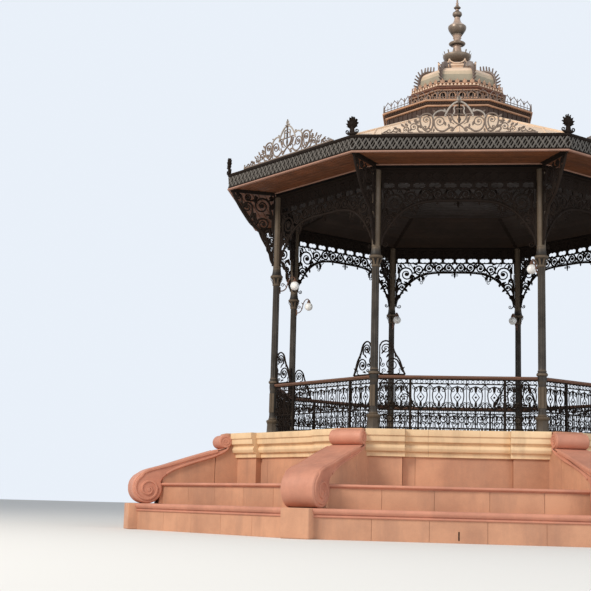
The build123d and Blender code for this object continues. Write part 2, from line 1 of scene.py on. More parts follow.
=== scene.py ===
import random
from math import cos, hypot, pi, radians, sin, tan

import bmesh
import bpy
from mathutils import Matrix, Vector


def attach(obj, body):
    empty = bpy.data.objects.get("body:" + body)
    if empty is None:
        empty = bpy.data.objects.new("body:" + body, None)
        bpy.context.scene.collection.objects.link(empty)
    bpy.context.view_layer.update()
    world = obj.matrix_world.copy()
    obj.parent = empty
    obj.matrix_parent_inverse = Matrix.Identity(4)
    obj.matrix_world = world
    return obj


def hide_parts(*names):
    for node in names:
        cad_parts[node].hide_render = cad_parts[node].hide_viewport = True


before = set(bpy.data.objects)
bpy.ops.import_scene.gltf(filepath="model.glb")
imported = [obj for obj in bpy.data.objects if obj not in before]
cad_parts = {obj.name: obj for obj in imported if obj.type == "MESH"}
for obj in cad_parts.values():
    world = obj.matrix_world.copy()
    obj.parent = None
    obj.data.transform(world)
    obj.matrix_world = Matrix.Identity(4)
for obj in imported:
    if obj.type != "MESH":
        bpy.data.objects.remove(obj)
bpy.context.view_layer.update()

# Octagonal iron bandstand on a stone platform. Metres, +Z up, the front side faces -Y.
HALF = pi / 8
COS, TAN = cos(HALF), tan(HALF)
BAY_HALF = 1.65
POST_HALF, RAIL_HALF = BAY_HALF - 0.0825, BAY_HALF - 0.09
COLUMN_APOTHEM = BAY_HALF / TAN
COLUMN_RADIUS = COLUMN_APOTHEM / COS

# Stonework: apothems from the floor slab outwards, half widths, and how far parts stand out or back
SLAB, WALL, UPPER_EDGE, LOWER_EDGE, EAVES = 4.5334, 4.8534, 6.3734, 6.8504, 5.0884
PIER_HALF, BAND_HALF, PANEL_HALF = 0.2875, 0.335, 1.04
NOSING, TREAD_END, SET_BACK = 0.06, 0.0605, 0.13
JOINT, ARRIS, STONE_DEPTH = 0.002, 0.004, 0.25
DRAIN_SIDE = 0.008

# Heights, from the ground up
LOWER_TOP, UPPER_TOP, CORNICE_FOOT, FLOOR = 0.536, 0.969, 1.536, 2.055
RAIL_FOOT, BASE_TOP, RAIL_MIDDLE, HEART, RAIL = 2.145, 2.4, 2.495, 2.76, 3.18
LAMP, CROWN, SLOT, LATTICE, BEAM, SOFFIT = 5.412, 6.72, 7.01, 7.118, 7.39, 7.49
EAVES_TOP, DOME = 7.825, 10.345
ARCH_DROP = 0.91


# Shader groups
def new_group(name, inputs, outputs):
    """Shader group with inputs named and given their usual values, and named outputs."""
    group = bpy.data.node_groups.new(name, "ShaderNodeTree")
    for label, value in inputs.items():
        kind = "NodeSocketColor" if isinstance(value, tuple) else "NodeSocketFloat"
        group.interface.new_socket(label, in_out="INPUT", socket_type=kind).default_value = value
    for label in outputs:
        kind = "NodeSocketColor" if label == "Color" else "NodeSocketFloat"
        group.interface.new_socket(label, in_out="OUTPUT", socket_type=kind)
    return group, group.nodes.new("NodeGroupInput").outputs, group.nodes.new("NodeGroupOutput").inputs


def put(tree, kind, links=(), **settings):
    """Add a node, set it up and wire its inputs."""
    node = tree.nodes.new(kind)
    values = settings.pop("values", {})
    for key, value in settings.items():
        setattr(node, key, value)
    for key, value in values.items():
        node.inputs[key].default_value = value
    for key, source in links:
        tree.links.new(source, node.inputs[key])
    return node


def math_node(tree, operation, first, second, clamp=False):
    node = put(tree, "ShaderNodeMath", operation=operation, use_clamp=clamp)
    for index, value in enumerate((first, second)):
        if isinstance(value, (int, float)):
            node.inputs[index].default_value = value
        else:
            tree.links.new(value, node.inputs[index])
    return node.outputs[0]


def noise(tree, place, scale, detail, roughness):
    node = put(tree, "ShaderNodeTexNoise", [("Vector", place), ("Scale", scale)],
               values={"Detail": detail, "Roughness": roughness})
    return node.outputs["Fac"]


def stretch(tree, value, low, high):
    """Values from low to high brought to 0 to 1."""
    node = put(tree, "ShaderNodeMapRange", [("Value", value)], values={"From Min": low, "From Max": high})
    return node.outputs["Result"]


def blend(tree, share, first, second):
    node = put(tree, "ShaderNodeMix", [("Factor", share), ("A", first), ("B", second)], data_type="RGBA")
    return node.outputs["Result"]


def mottle_group():
    """Patchy change of tone at two scales, with fine grain as height."""
    group, given, out = new_group("mottle", {
        "Patch scale": 1.2, "Grain scale": 60.0, "Light": (1, 1, 1, 1), "Dark": (0, 0, 0, 1)},
        ("Color", "Height", "Mask"))
    place = group.nodes.new("ShaderNodeTexCoord").outputs["Object"]
    patch = noise(group, place, given["Patch scale"], 6.0, 0.62)
    grain = noise(group, place, given["Grain scale"], 4.0, 0.7)
    fine = math_node(group, "MULTIPLY", math_node(group, "SUBTRACT", grain, 0.5), 0.6)
    mask = math_node(group, "ADD", stretch(group, patch, 0.34, 0.66), fine, clamp=True)
    group.links.new(blend(group, mask, given["Dark"], given["Light"]), out["Color"])
    group.links.new(grain, out["Height"])
    group.links.new(mask, out["Mask"])
    return group


def weather_group():
    """Grime in streaks that run down, and a worn tone on edges that stand out."""
    group, given, out = new_group("weather", {
        "Color": (0.5, 0.5, 0.5, 1), "Grime": (0.05, 0.04, 0.03, 1), "Edge": (0.8, 0.8, 0.8, 1),
        "Grime amount": 0.5, "Edge amount": 0.5, "Streak scale": 3.0}, ("Color", "Edge mask"))
    place = group.nodes.new("ShaderNodeTexCoord").outputs["Object"]
    long = put(group, "ShaderNodeVectorMath", [(0, place)], operation="MULTIPLY", values={1: (1, 1, 0.22)})
    streak = stretch(group, noise(group, long.outputs[0], given["Streak scale"], 5.0, 0.65), 0.48, 0.72)
    dirt = math_node(group, "MULTIPLY", streak, given["Grime amount"], clamp=True)
    dirty = blend(group, dirt, given["Color"], given["Grime"])
    pointed = group.nodes.new("ShaderNodeNewGeometry").outputs["Pointiness"]
    edge = math_node(group, "MULTIPLY", stretch(group, pointed, 0.505, 0.56), given["Edge amount"],
                     clamp=True)
    group.links.new(blend(group, edge, dirty, given["Edge"]), out["Color"])
    group.links.new(edge, out["Edge mask"])
    return group


def tone_group():
    """Small shift of brightness from one block or board to the next."""
    group, given, out = new_group("piece_tone", {"Color": (0.5, 0.5, 0.5, 1), "Amount": 0.2}, ("Color",))
    tone = put(group, "ShaderNodeAttribute", attribute_name="tone").outputs["Fac"]
    shift = math_node(group, "MULTIPLY", math_node(group, "SUBTRACT", tone, 0.5), given["Amount"])
    value = math_node(group, "ADD", shift, 1.0)
    change = put(group, "ShaderNodeHueSaturation", [("Color", given["Color"]), ("Value", value)])
    group.links.new(change.outputs["Color"], out["Color"])
    return group


MOTTLE, WEATHER, TONE = mottle_group(), weather_group(), tone_group()


def new_material(name):
    material = bpy.data.materials.new(name)
    material.use_nodes = True
    return material, material.node_tree, material.node_tree.nodes["Principled BSDF"]


def finish(name, light, dark, grime, edge, patch=1.2, grain=60.0, grime_amount=0.5, edge_amount=0.5,
           streak=3.0, tone=0.0, rough=(0.6, 0.85), bump=0.3, bump_distance=0.003, metallic=0.0,
           specular=0.5):
    """Weathered finish of one kind, from the shared groups."""
    material, tree, shader = new_material(name)
    base = put(tree, "ShaderNodeGroup", node_tree=MOTTLE, values={
        "Patch scale": patch, "Grain scale": grain, "Light": (*light, 1), "Dark": (*dark, 1)})
    color = base.outputs["Color"]
    if tone:
        toned = put(tree, "ShaderNodeGroup", [("Color", color)], node_tree=TONE, values={"Amount": tone})
        color = toned.outputs["Color"]
    worn = put(tree, "ShaderNodeGroup", [("Color", color)], node_tree=WEATHER, values={
        "Grime": (*grime, 1), "Edge": (*edge, 1), "Grime amount": grime_amount, "Edge amount": edge_amount,
        "Streak scale": streak})
    tree.links.new(worn.outputs["Color"], shader.inputs["Base Color"])
    gloss = put(tree, "ShaderNodeMapRange", [("Value", base.outputs["Mask"])],
                values={"To Min": rough[1], "To Max": rough[0]})
    tree.links.new(gloss.outputs["Result"], shader.inputs["Roughness"])
    relief = put(tree, "ShaderNodeBump", [("Height", base.outputs["Height"])],
                 values={"Strength": bump, "Distance": bump_distance})
    tree.links.new(relief.outputs["Normal"], shader.inputs["Normal"])
    shader.inputs["Metallic"].default_value = metallic
    shader.inputs["Specular IOR Level"].default_value = specular
    return material


def iron(name, *colors, **settings):
    """Finish of cast iron, with the values that most of it shares."""
    shared = {"patch": 3.0, "grain": 30, "rough": (0.5, 0.7), "bump": 0.2, "bump_distance": 0.002,
              "specular": 0.3}
    return finish(name, *colors, **{**shared, **settings})


ROSE = finish("rose_stone", (0.62, 0.315, 0.178), (0.35, 0.165, 0.096), (0.19, 0.10, 0.07),
              (0.70, 0.38, 0.25), patch=0.9, grain=45, grime_amount=0.55, edge_amount=0.35, streak=2.2,
              tone=0.24, bump=0.35, specular=0.3)
ROLL = finish("rolled_rose_stone", (0.61, 0.245, 0.152), (0.38, 0.14, 0.09), (0.23, 0.10, 0.07),
              (0.74, 0.38, 0.26), patch=1.4, grain=35, grime_amount=0.35, edge_amount=0.3, streak=2.6,
              bump=0.25, rough=(0.5, 0.75), specular=0.35)
CREAM = finish("cream_stone", (0.82, 0.585, 0.345), (0.64, 0.42, 0.235), (0.30, 0.18, 0.10),
               (0.90, 0.70, 0.45), patch=1.1, grain=50, grime_amount=0.55, edge_amount=0.3, tone=0.2,
               bump=0.25, specular=0.35)
PAVING = finish("floor_paving", (0.42, 0.36, 0.30), (0.28, 0.24, 0.21), (0.12, 0.10, 0.09), (0.5, 0.45, 0.4),
                patch=1.0, grain=40, tone=0.2)
# Painted shade: the iron paint darkened far below its own colour, for the railings, friezes, spandrels,
# brackets and other iron that stands in shade; the columns carry a lighter copy of the same paint.
SHADED_IRON = iron("dark_iron", (0.007, 0.0065, 0.0065), (0.0035, 0.0035, 0.0035), (0.012, 0.007, 0.005),
            (0.034, 0.022, 0.016), patch=2.2, grime_amount=0.4, edge_amount=0.45, streak=4.0,
            rough=(0.5, 0.75), specular=0.05)
# Painted light: the same iron paint kept lighter on the columns, because they stand partly in sun.
SUNLIT_SHAFT_IRON = iron("shaft_iron_painted_sunlight", (0.042, 0.034, 0.026), (0.013, 0.011, 0.009), (0.010, 0.008, 0.007),
                  (0.17, 0.12, 0.075), patch=2.6, grime_amount=0.6, edge_amount=0.55, rough=(0.45, 0.7))
# Painted sunlight: lighter copies of the iron paint for the roof crests, the pale one on the arch rims that
# catch the sun.
SUNLIT_CREST_IRON = iron("crest_iron_painted_sunlight", (0.075, 0.048, 0.036), (0.03, 0.02, 0.016), (0.02, 0.013, 0.011),
                  (0.28, 0.21, 0.165), edge_amount=0.6, streak=5.0)
CREST_RIM_SUNLIGHT = iron("crest_rim_painted_sunlight", (0.30, 0.255, 0.215), (0.12, 0.10, 0.085), (0.05, 0.04, 0.034),
                 (0.50, 0.44, 0.38), streak=5.0)
# Painted highlight: a lighter copy of the iron for the fascia's lattice bars, against the board behind them
# in painted shade.
LIT_LATTICE_IRON = iron("lattice_iron_painted_highlight", (0.06, 0.057, 0.054), (0.03, 0.028, 0.026), (0.016, 0.013, 0.012),
                 (0.21, 0.185, 0.16), grime_amount=0.6, streak=5.0)
BROWN_IRON = iron("brown_iron", (0.13, 0.055, 0.032), (0.05, 0.026, 0.018), (0.03, 0.018, 0.014),
                  (0.22, 0.12, 0.075), edge_amount=0.4, rough=(0.45, 0.65), bump=0.15)
RAIL_PAINT = iron("brown_rail", (0.125, 0.052, 0.03), (0.06, 0.028, 0.02), (0.03, 0.018, 0.014),
                  (0.20, 0.10, 0.06), rough=(0.4, 0.65), bump=0.15, bump_distance=0.001, specular=0.35)
BOARDS = finish("brown_boards", (0.15, 0.048, 0.016), (0.075, 0.026, 0.011), (0.035, 0.018, 0.012),
                (0.26, 0.11, 0.05), patch=1.6, grain=24, edge_amount=0.2, tone=0.6, rough=(0.5, 0.75),
                bump=0.2, specular=0.25)
# Painted shade: the brown boards of the ceiling darkened to near black, for the deep shade under the roof.
SHADED_CEILING = finish("ceiling_boards_painted_shade", (0.02, 0.011, 0.007), (0.009, 0.006, 0.0045), (0.01, 0.008, 0.007),
                 (0.06, 0.035, 0.022), patch=1.2, grain=24, grime_amount=0.4, edge_amount=0.2, tone=0.5,
                 rough=(0.5, 0.75), bump=0.2, specular=0.25)
MOULDING = finish("salmon_moulding", (0.34, 0.17, 0.115), (0.20, 0.10, 0.075), (0.06, 0.035, 0.024),
                  (0.44, 0.26, 0.19), patch=2.2, grain=30, bump=0.15, specular=0.3)
ROOF = finish("roof_sheet", (0.84, 0.62, 0.42), (0.70, 0.47, 0.31), (0.42, 0.27, 0.18), (0.92, 0.74, 0.55),
              patch=0.8, grain=20, grime_amount=0.12, edge_amount=0.3, streak=1.8, rough=(0.5, 0.7),
              bump=0.15)
# Painted light on the dome: one sheet metal in three copies, peach as painted sunlight on the upper dome,
# greyer and darker as painted shade towards the foot.
DOME_SUNLIT = finish("dome_sheet_painted_sunlight", (0.80, 0.57, 0.40), (0.66, 0.46, 0.32), (0.36, 0.26, 0.19),
                  (0.85, 0.66, 0.50), patch=2.0, grain=18, grime_amount=0.3, edge_amount=0.3,
                  rough=(0.42, 0.62), bump=0.12)
DOME_HALF_SHADED = finish("dome_sheet_painted_half_shade", (0.55, 0.42, 0.28), (0.40, 0.31, 0.21), (0.26, 0.20, 0.14),
                     (0.75, 0.60, 0.44), patch=2.0, grain=18, grime_amount=0.3, edge_amount=0.3,
                     rough=(0.42, 0.62), bump=0.12)
DOME_SHADED = finish("dome_sheet", (0.27, 0.235, 0.15), (0.13, 0.12, 0.08), (0.20, 0.15, 0.11),
                    (0.68, 0.56, 0.42), patch=2.0, grain=18, grime_amount=0.35, edge_amount=0.3,
                    rough=(0.42, 0.62), bump=0.12)
LANTERN = finish("lantern_paint", (0.46, 0.235, 0.135), (0.17, 0.08, 0.048), (0.03, 0.018, 0.013),
                 (0.72, 0.46, 0.31), patch=2.4, grain=26, grime_amount=0.7, streak=5.0, rough=(0.5, 0.7),
                 bump=0.15, specular=0.3)
RED_BAND = finish("lantern_red_band", (0.20, 0.065, 0.045), (0.08, 0.026, 0.02), (0.03, 0.016, 0.012),
                  (0.34, 0.17, 0.11), patch=6.0, grain=40, grime_amount=0.7, streak=8.0, rough=(0.5, 0.7),
                  bump=0.2, specular=0.3)
# Painted shade: a near-black copy of the lantern paint, put on the drum wall, under the shelves and round the
# foot of the dome, where shade falls.
LANTERN_PAINTED_SHADE = finish("lantern_painted_shade", (0.045, 0.026, 0.02), (0.018, 0.012, 0.01), (0.01, 0.008, 0.007),
                       (0.12, 0.07, 0.05), patch=2.4, grain=26, edge_amount=0.3, rough=(0.5, 0.7), bump=0.15,
                       specular=0.25)
PEGS = finish("dome_pegs", (0.05, 0.032, 0.028), (0.018, 0.014, 0.013), (0.04, 0.024, 0.018),
              (0.30, 0.22, 0.18), patch=3.0, grain=24, rough=(0.4, 0.6), bump=0.12)
# Pale bronze that is partly a painted highlight: the rod and the vase's upper dome are made light where the
# bright sky shines on them.
BRONZE_PALE_AND_HIGHLIGHT = finish("finial_pale_bronze_and_highlight", (0.50, 0.36, 0.27), (0.26, 0.175, 0.13), (0.14, 0.08, 0.055),
                      (0.68, 0.54, 0.44), patch=3.0, grain=24, edge_amount=0.6, rough=(0.35, 0.55), bump=0.12,
                      metallic=0.2)
BRONZE = finish("finial_bronze", (0.085, 0.066, 0.05), (0.026, 0.023, 0.02), (0.09, 0.045, 0.03),
                (0.36, 0.27, 0.2), patch=3.0, grain=24, edge_amount=0.6, rough=(0.3, 0.52), bump=0.12,
                metallic=0.4)


def opal_glass():
    material, tree, shader = new_material("opal_glass")
    cloud = put(tree, "ShaderNodeGroup", node_tree=MOTTLE, values={
        "Patch scale": 7, "Light": (0.98, 0.97, 0.94, 1), "Dark": (0.93, 0.91, 0.87, 1)})
    tree.links.new(cloud.outputs["Color"], shader.inputs["Base Color"])
    shader.inputs["Roughness"].default_value = 0.16
    shader.inputs["Subsurface Weight"].default_value = 0.25
    shader.inputs["Subsurface Radius"].default_value = (0.03, 0.03, 0.03)
    shader.inputs["Coat Weight"].default_value = 0.3
    return material


OPAL = opal_glass()


# Making meshes
class Castings:
    """Gathers the vertices and faces of one piece."""

    def __init__(self):
        self.points, self.faces, self.tones, self.finishes = [], [], [], []

    def add(self, points, faces, tone=0.5, kind=0):
        start = len(self.points)
        self.points += [tuple(point) for point in points]
        self.tones += [tone] * len(points)
        self.faces += [tuple(start + index for index in face) for face in faces]
        self.finishes += [kind] * len(faces)

    def join(self, other, matrix=Matrix.Identity(4)):
        """Copy another part in, and turn its faces round where the matrix mirrors it."""
        start = len(self.points)
        self.points += [tuple(matrix @ Vector(point)) for point in other.points]
        self.tones += other.tones
        order = -1 if matrix.determinant() < 0 else 1
        self.faces += [tuple(start + index for index in face)[::order] for face in other.faces]
        self.finishes += other.finishes

    def cast(self, name, materials, slot, *nodes, sharp=35):
        """Turn what was gathered into one mesh object that stands for CAD nodes."""
        mesh = bpy.data.meshes.new(name)
        mesh.from_pydata(self.points, [], self.faces)
        for material in materials:
            mesh.materials.append(material)
        mesh.polygons.foreach_set("material_index", self.finishes)
        tone = mesh.attributes.new("tone", "FLOAT", "POINT")
        tone.data.foreach_set("value", self.tones)
        mesh.shade_smooth()
        mesh.set_sharp_from_angle(angle=radians(sharp))
        mesh.update()
        shell = bmesh.new()
        shell.from_mesh(mesh)
        bmesh.ops.recalc_face_normals(shell, faces=shell.faces)
        shell.to_mesh(mesh)
        shell.free()
        piece = bpy.data.objects.new(name, mesh)
        bpy.context.collection.objects.link(piece)
        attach(piece, "root")
        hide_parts(*nodes)
        return piece


def turned_to(side):
    return Matrix.Rotation(side * pi / 4, 4, "Z")


def corner_angle(corner):
    return radians(45 * corner - 112.5)


def turned_to_corner(corner):
    return Matrix.Rotation(corner_angle(corner), 4, "Z")


def around(part, turn=turned_to, numbers=range(8)):
    """The part on every side, or on every corner, of those numbers."""
    whole = Castings()
    for number in numbers:
        whole.join(part, turn(number))
    return whole


def cast_each(part, name, material, turn=turned_to, sharp=35):
    """Eight pieces of iron, one on each side or corner."""
    for number in range(1, 9):
        placed = around(part, turn, [number - 1])
        placed.cast(f"{name}_{number}_casting", [material], "dark_iron", f"{name}_{number}", sharp=sharp)


def grid_faces(rows, columns, closed_rows=False, closed_columns=True):
    """Quads between rows of points, each row a closed or an open line."""
    faces = []
    for row in range(rows if closed_rows else rows - 1):
        here, after = row * columns, (row + 1) % rows * columns
        for column in range(columns if closed_columns else columns - 1):
            right = (column + 1) % columns
            faces.append((here + column, here + right, after + right, after + column))
    return faces


def capped(part, rows, tone=0.5, kind=0):
    """Closed rows of points joined up, with a face over the first and the last."""
    count = len(rows[0])
    points = [point for row in rows for point in row]
    faces = grid_faces(len(rows), count)
    faces.append(tuple(range(count))[::-1])
    faces.append(tuple(range(len(points) - count, len(points))))
    part.add(points, faces, tone, kind)


def box(part, low, high, bevel=0.0, tone=0.5, kind=0, matrix=None):
    """Block with chamfered edges, for stones and boards."""
    (x0, y0, z0), (x1, y1, z1) = low, high
    b = min(bevel, (x1 - x0) / 3, (y1 - y0) / 3, (z1 - z0) / 3)
    rings = []
    for z, inset in ((z0, b), (z0 + b, 0), (z1 - b, 0), (z1, b)) if b else ((z0, 0), (z1, 0)):
        if b:
            left, right, near, far = x0 + inset, x1 - inset, y0 + inset, y1 - inset
            ring = [(left + b, near), (right - b, near), (right, near + b), (right, far - b),
                    (right - b, far), (left + b, far), (left, far - b), (left, near + b)]
        else:
            ring = [(x0, y0), (x1, y0), (x1, y1), (x0, y1)]
        rings.append([Vector((x, y, z)) for x, y in ring])
    if matrix:
        rings = [[matrix @ point for point in ring] for ring in rings]
    capped(part, rings, tone, kind)


def lathe(part, levels, sides=24, start=0.0, centre=(0, 0), kind=0, flutes=0, depth=0.0):
    """Turned form from (radius, height) or (radius, height, flute) levels."""
    rows = []
    count = flutes * 4 if flutes else sides
    for radius, height, *groove in levels:
        row = []
        for index in range(count):
            angle = start + 2 * pi * index / count
            here = radius - sum(groove) * depth * (0, 0.75, 1, 0.75)[index % 4]
            row.append((centre[0] + here * cos(angle), centre[1] + here * sin(angle), height))
        rows.append(row)
    capped(part, rows, kind=kind)


def eight_sided(part, levels):
    """Upright form with eight flat sides, from (half width, height) levels."""
    lathe(part, [(half / COS, height) for half, height in levels], 8, HALF)


def rounded(points, radius, steps=3):
    """Profile whose given corners (third value true) are rounded off."""
    line = []
    count = len(points)
    for index, point in enumerate(points):
        if len(point) < 3 or not point[2]:
            line.append(point[:2])
            continue
        before, after = Vector(points[index - 1][:2]), Vector(points[(index + 1) % count][:2])
        here = Vector(point[:2])
        cut = min(radius, (before - here).length * 0.45, (after - here).length * 0.45)
        first = here + (before - here).normalized() * cut
        last = here + (after - here).normalized() * cut
        for step in range(steps + 1):
            t = step / steps
            line.append(tuple(first * (1 - t) ** 2 + here * 2 * t * (1 - t) + last * t ** 2))
    return line


def moulding(part, path, profile, kind=0, tone=0.5):
    """Closed profile of (out, height) carried along plan points whose outer side is on the right."""
    rows = []
    for index, (x, y) in enumerate(path):
        ways = []
        if index > 0:
            ways.append(Vector((x - path[index - 1][0], y - path[index - 1][1])).normalized())
        if index < len(path) - 1:
            ways.append(Vector((path[index + 1][0] - x, path[index + 1][1] - y)).normalized())
        normals = [Vector((way.y, -way.x)) for way in ways]
        push = normals[0]
        if len(normals) > 1:
            push = (normals[0] + normals[1]) / (1 + normals[0].dot(normals[1]))
        rows.append([(x + push.x * out, y + push.y * out, height) for out, height in profile])
    capped(part, rows, tone, kind)


def straight_moulding(part, half, apothem, profile, kind=0):
    """Moulding along a straight front side."""
    moulding(part, [(-half, -apothem), (half, -apothem)], profile, kind)


def octagon_band(part, profile, kind=0):
    """Closed profile of (apothem, height) carried round the eight sides."""
    rows = []
    for corner in range(8):
        angle = corner_angle(corner)
        rows.append([(a / COS * cos(angle), a / COS * sin(angle), z) for a, z in profile])
    points = [point for row in rows for point in row]
    part.add(points, grid_faces(8, len(profile), True), 0.5, kind)


def side_end(apothem, gap):
    """Half length of a side up to an upright face beside the corner."""
    return apothem * TAN - gap / COS


def spaced(half, count):
    """Middles of equal spaces between the two ends of a side."""
    return [-half + (index + 0.5) * 2 * half / count for index in range(count)]


# Scrolls of cast iron
def flourish(start, heading, runs, curl=None, step=16):
    """Line of arcs (radius, degrees), or straight runs (length, 0), that may end in a curl
    (radius, turns, hand)."""
    x, z = start
    angle = radians(heading)
    line = [(x, z)]

    def go(length, turn):
        nonlocal x, z, angle
        angle += turn / 2
        x, z = x + length * cos(angle), z + length * sin(angle)
        angle += turn / 2
        line.append((x, z))

    for radius, sweep in runs:
        if sweep == 0:
            go(radius, 0)
            continue
        pieces = max(2, round(abs(sweep) / step))
        turn = radians(abs(sweep)) / pieces
        for _ in range(pieces):
            go(2 * radius * sin(turn / 2), turn if sweep > 0 else -turn)
    if curl:
        radius, turns, hand = curl
        pieces = max(6, round(turns * 360 / (step * 1.4)))
        turn = 2 * pi * turns / pieces
        for index in range(pieces):
            here = radius * (1 - 0.8 * ((index + 0.5) / pieces))
            go(2 * here * sin(turn / 2), hand * turn)
    return line


SIX = ((1, 0), (0.5, 0.9), (-0.5, 0.9), (-1, 0), (-0.5, -0.9), (0.5, -0.9))
FOUR = ((1, 0), (0, 1), (-1, 0), (0, -1))


def normals_along(line):
    """Each point of a line in side and height, with its unit normal."""
    last = len(line) - 1
    for index, (x, z) in enumerate(line):
        before, after = line[max(index - 1, 0)], line[min(index + 1, last)]
        dx, dz = after[0] - before[0], after[1] - before[1]
        size = hypot(dx, dz) or 1
        yield x, z, -dz / size, dx / size


def strip(part, line, wide, deep, end_wide=None, section=FOUR, kind=0, offset=0.0):
    """Cast strip along a line in side and height; its width may taper."""
    lengths = [0]
    for before, after in zip(line, line[1:]):
        lengths.append(lengths[-1] + hypot(after[0] - before[0], after[1] - before[1]))
    rows = []
    for length, (x, z, nx, nz) in zip(lengths, normals_along(line)):
        share = length / (lengths[-1] or 1)
        width = (wide + ((end_wide if end_wide is not None else wide) - wide) * share) / 2
        rows.append([(x + nx * a * width, offset + b * deep / 2, z + nz * a * width) for a, b in section])
    capped(part, rows, kind=kind)


def bead(part, x, z, radius, deep=None, kind=0, offset=0.0):
    """Small ball or boss."""
    deep = deep or radius
    points = [(x, offset - deep, z)]
    for tilt in (-35, 35):
        for index in range(6):
            angle = index * pi / 3
            points.append((x + radius * cos(angle) * cos(radians(tilt)), offset + deep * sin(radians(tilt)),
                           z + radius * sin(angle) * cos(radians(tilt))))
    points.append((x, offset + deep, z))
    faces = [(0, 1 + i, 1 + (i + 1) % 6) for i in range(6)]
    faces += [(1 + i, 7 + i, 7 + (i + 1) % 6, 1 + (i + 1) % 6) for i in range(6)]
    faces += [(7 + i, 13, 7 + (i + 1) % 6) for i in range(6)]
    part.add(points, faces, 0.5, kind)


def leaf(part, start, heading, length, width, bend=0.0, deep=0.012, kind=0):
    """Pointed leaf with a raised middle, curving to one side."""
    arc = [(length / max(abs(radians(bend)), 0.01), bend)] if bend else [(length / 2, 0)] * 2
    line = flourish(start, heading, arc, step=22)
    rows = []
    for index, (x, z, nx, nz) in enumerate(normals_along(line)):
        share = index / (len(line) - 1)
        half = width / 2 * max(sin(pi * min(share * 0.85 + 0.15, 1.0)), 0.05)
        rows.append([(x + nx * half, 0.0, z + nz * half), (x, -deep, z), (x - nx * half, 0.0, z - nz * half),
                     (x, deep, z)])
    capped(part, rows, kind=kind)


def volute(centre, radius, start, turns, hand, inner=0.2, step=26):
    """Points of a spiral that winds inward about its centre, from an angle in degrees."""
    count = max(6, round(turns * 360 / step))
    points = []
    for index in range(count + 1):
        share = index / count
        angle = radians(start + hand * 360 * turns * share)
        reach = radius * (1 - (1 - inner) * share)
        points.append((centre[0] + reach * cos(angle), centre[1] + reach * sin(angle)))
    return points


def scroll(part, leads, centre, radius, start, turns, hand, wide=0.03, deep=0.028, end_wide=0.012,
           section=FOUR, boss=0.0):
    """Strip that runs through its leads and winds up in a spiral."""
    spiral = volute(centre, radius, start, turns, hand)
    strip(part, smooth_line(list(leads) + [spiral[0]], 4)[:-1] + spiral, wide, deep, end_wide, section)
    if boss:
        bead(part, *centre, boss, deep * 0.6)


def scrollwork(part, scrolls):
    """Tapering scrolls with a boss, from (centre, radius, start, hand, leads, width)."""
    for centre, radius, start, hand, leads, wide in scrolls:
        section = SIX if radius > 0.1 else FOUR
        scroll(part, leads, centre, radius, start, 1.75, hand, wide, 0.034, 0.026, section, radius * 0.32)


def mirrored(part):
    image = Castings()
    image.join(part, Matrix.Scale(-1, 4, (1, 0, 0)))
    return image


def both_ways(make):
    """A part and its mirror image beside it."""
    half = Castings()
    make(half)
    whole = Castings()
    whole.join(half)
    whole.join(mirrored(half))
    return whole


def stood(part, apothem):
    """Front side panel moved out to its apothem."""
    whole = Castings()
    whole.join(part, Matrix.Translation((0, -apothem, 0)))
    return whole


def flat_bar(part, x0, x1, z0, z1, deep, kind=0, offset=0.0, bevel=0.004):
    box(part, (x0, offset - deep / 2, z0), (x1, offset + deep / 2, z1), bevel, kind=kind)


def extruded(part, outline, half, bevel=0.008, kind=0, tone=0.5):
    """Outline in radius and height given a width, with its edges chamfered."""
    area = sum(a[0] * b[1] - b[0] * a[1] for a, b in zip(outline, outline[1:] + outline[:1]))
    inset = bevel if area > 0 else -bevel
    inner = []
    for index, (r, z) in enumerate(outline):
        before, after = Vector(outline[index - 1]), Vector(outline[(index + 1) % len(outline)])
        way = (after - before).normalized()
        inner.append((r - inset * way.y, z + inset * way.x))
    rings = [(inner, -half), (outline, -half + bevel), (outline, half - bevel), (inner, half)]
    capped(part, [[(r, across, z) for r, z in line] for line, across in rings], tone, kind)


def smooth_line(points, steps=6):
    """Points of an even curve through the given points."""
    line = []
    ends = [points[0]] + list(points) + [points[-1]]
    for a, b, c, d in zip(ends, ends[1:], ends[2:], ends[3:]):
        for step in range(steps):
            t = step / steps
            line.append(tuple(0.5 * (2 * q + (r - p) * t + (2 * p - 5 * q + 4 * r - s) * t ** 2
                                     + (3 * q - p - 3 * r + s) * t ** 3) for p, q, r, s in zip(a, b, c, d)))
    line.append(tuple(points[-1]))
    return line


def circle(centre, radius, first, last, count):
    """Arc of points between two angles in degrees."""
    angles = [radians(first + (last - first) * index / count) for index in range(count + 1)]
    return [(centre[0] + radius * cos(angle), centre[1] + radius * sin(angle)) for angle in angles]


# Stone platform
def stones(part, apothem, gap, z0, z1, joints, seed, low=None, high=None):
    """Course of facing stones on the front side."""
    shades = random.Random(seed)
    end = side_end(apothem, gap) + 0.005
    cuts = [low if low is not None else -end] + list(joints) + [high if high is not None else end]
    for left, right in zip(cuts, cuts[1:]):
        box(part, (left + JOINT, -apothem, z0), (right - JOINT, -apothem + STONE_DEPTH, z1), ARRIS,
            shades.random())


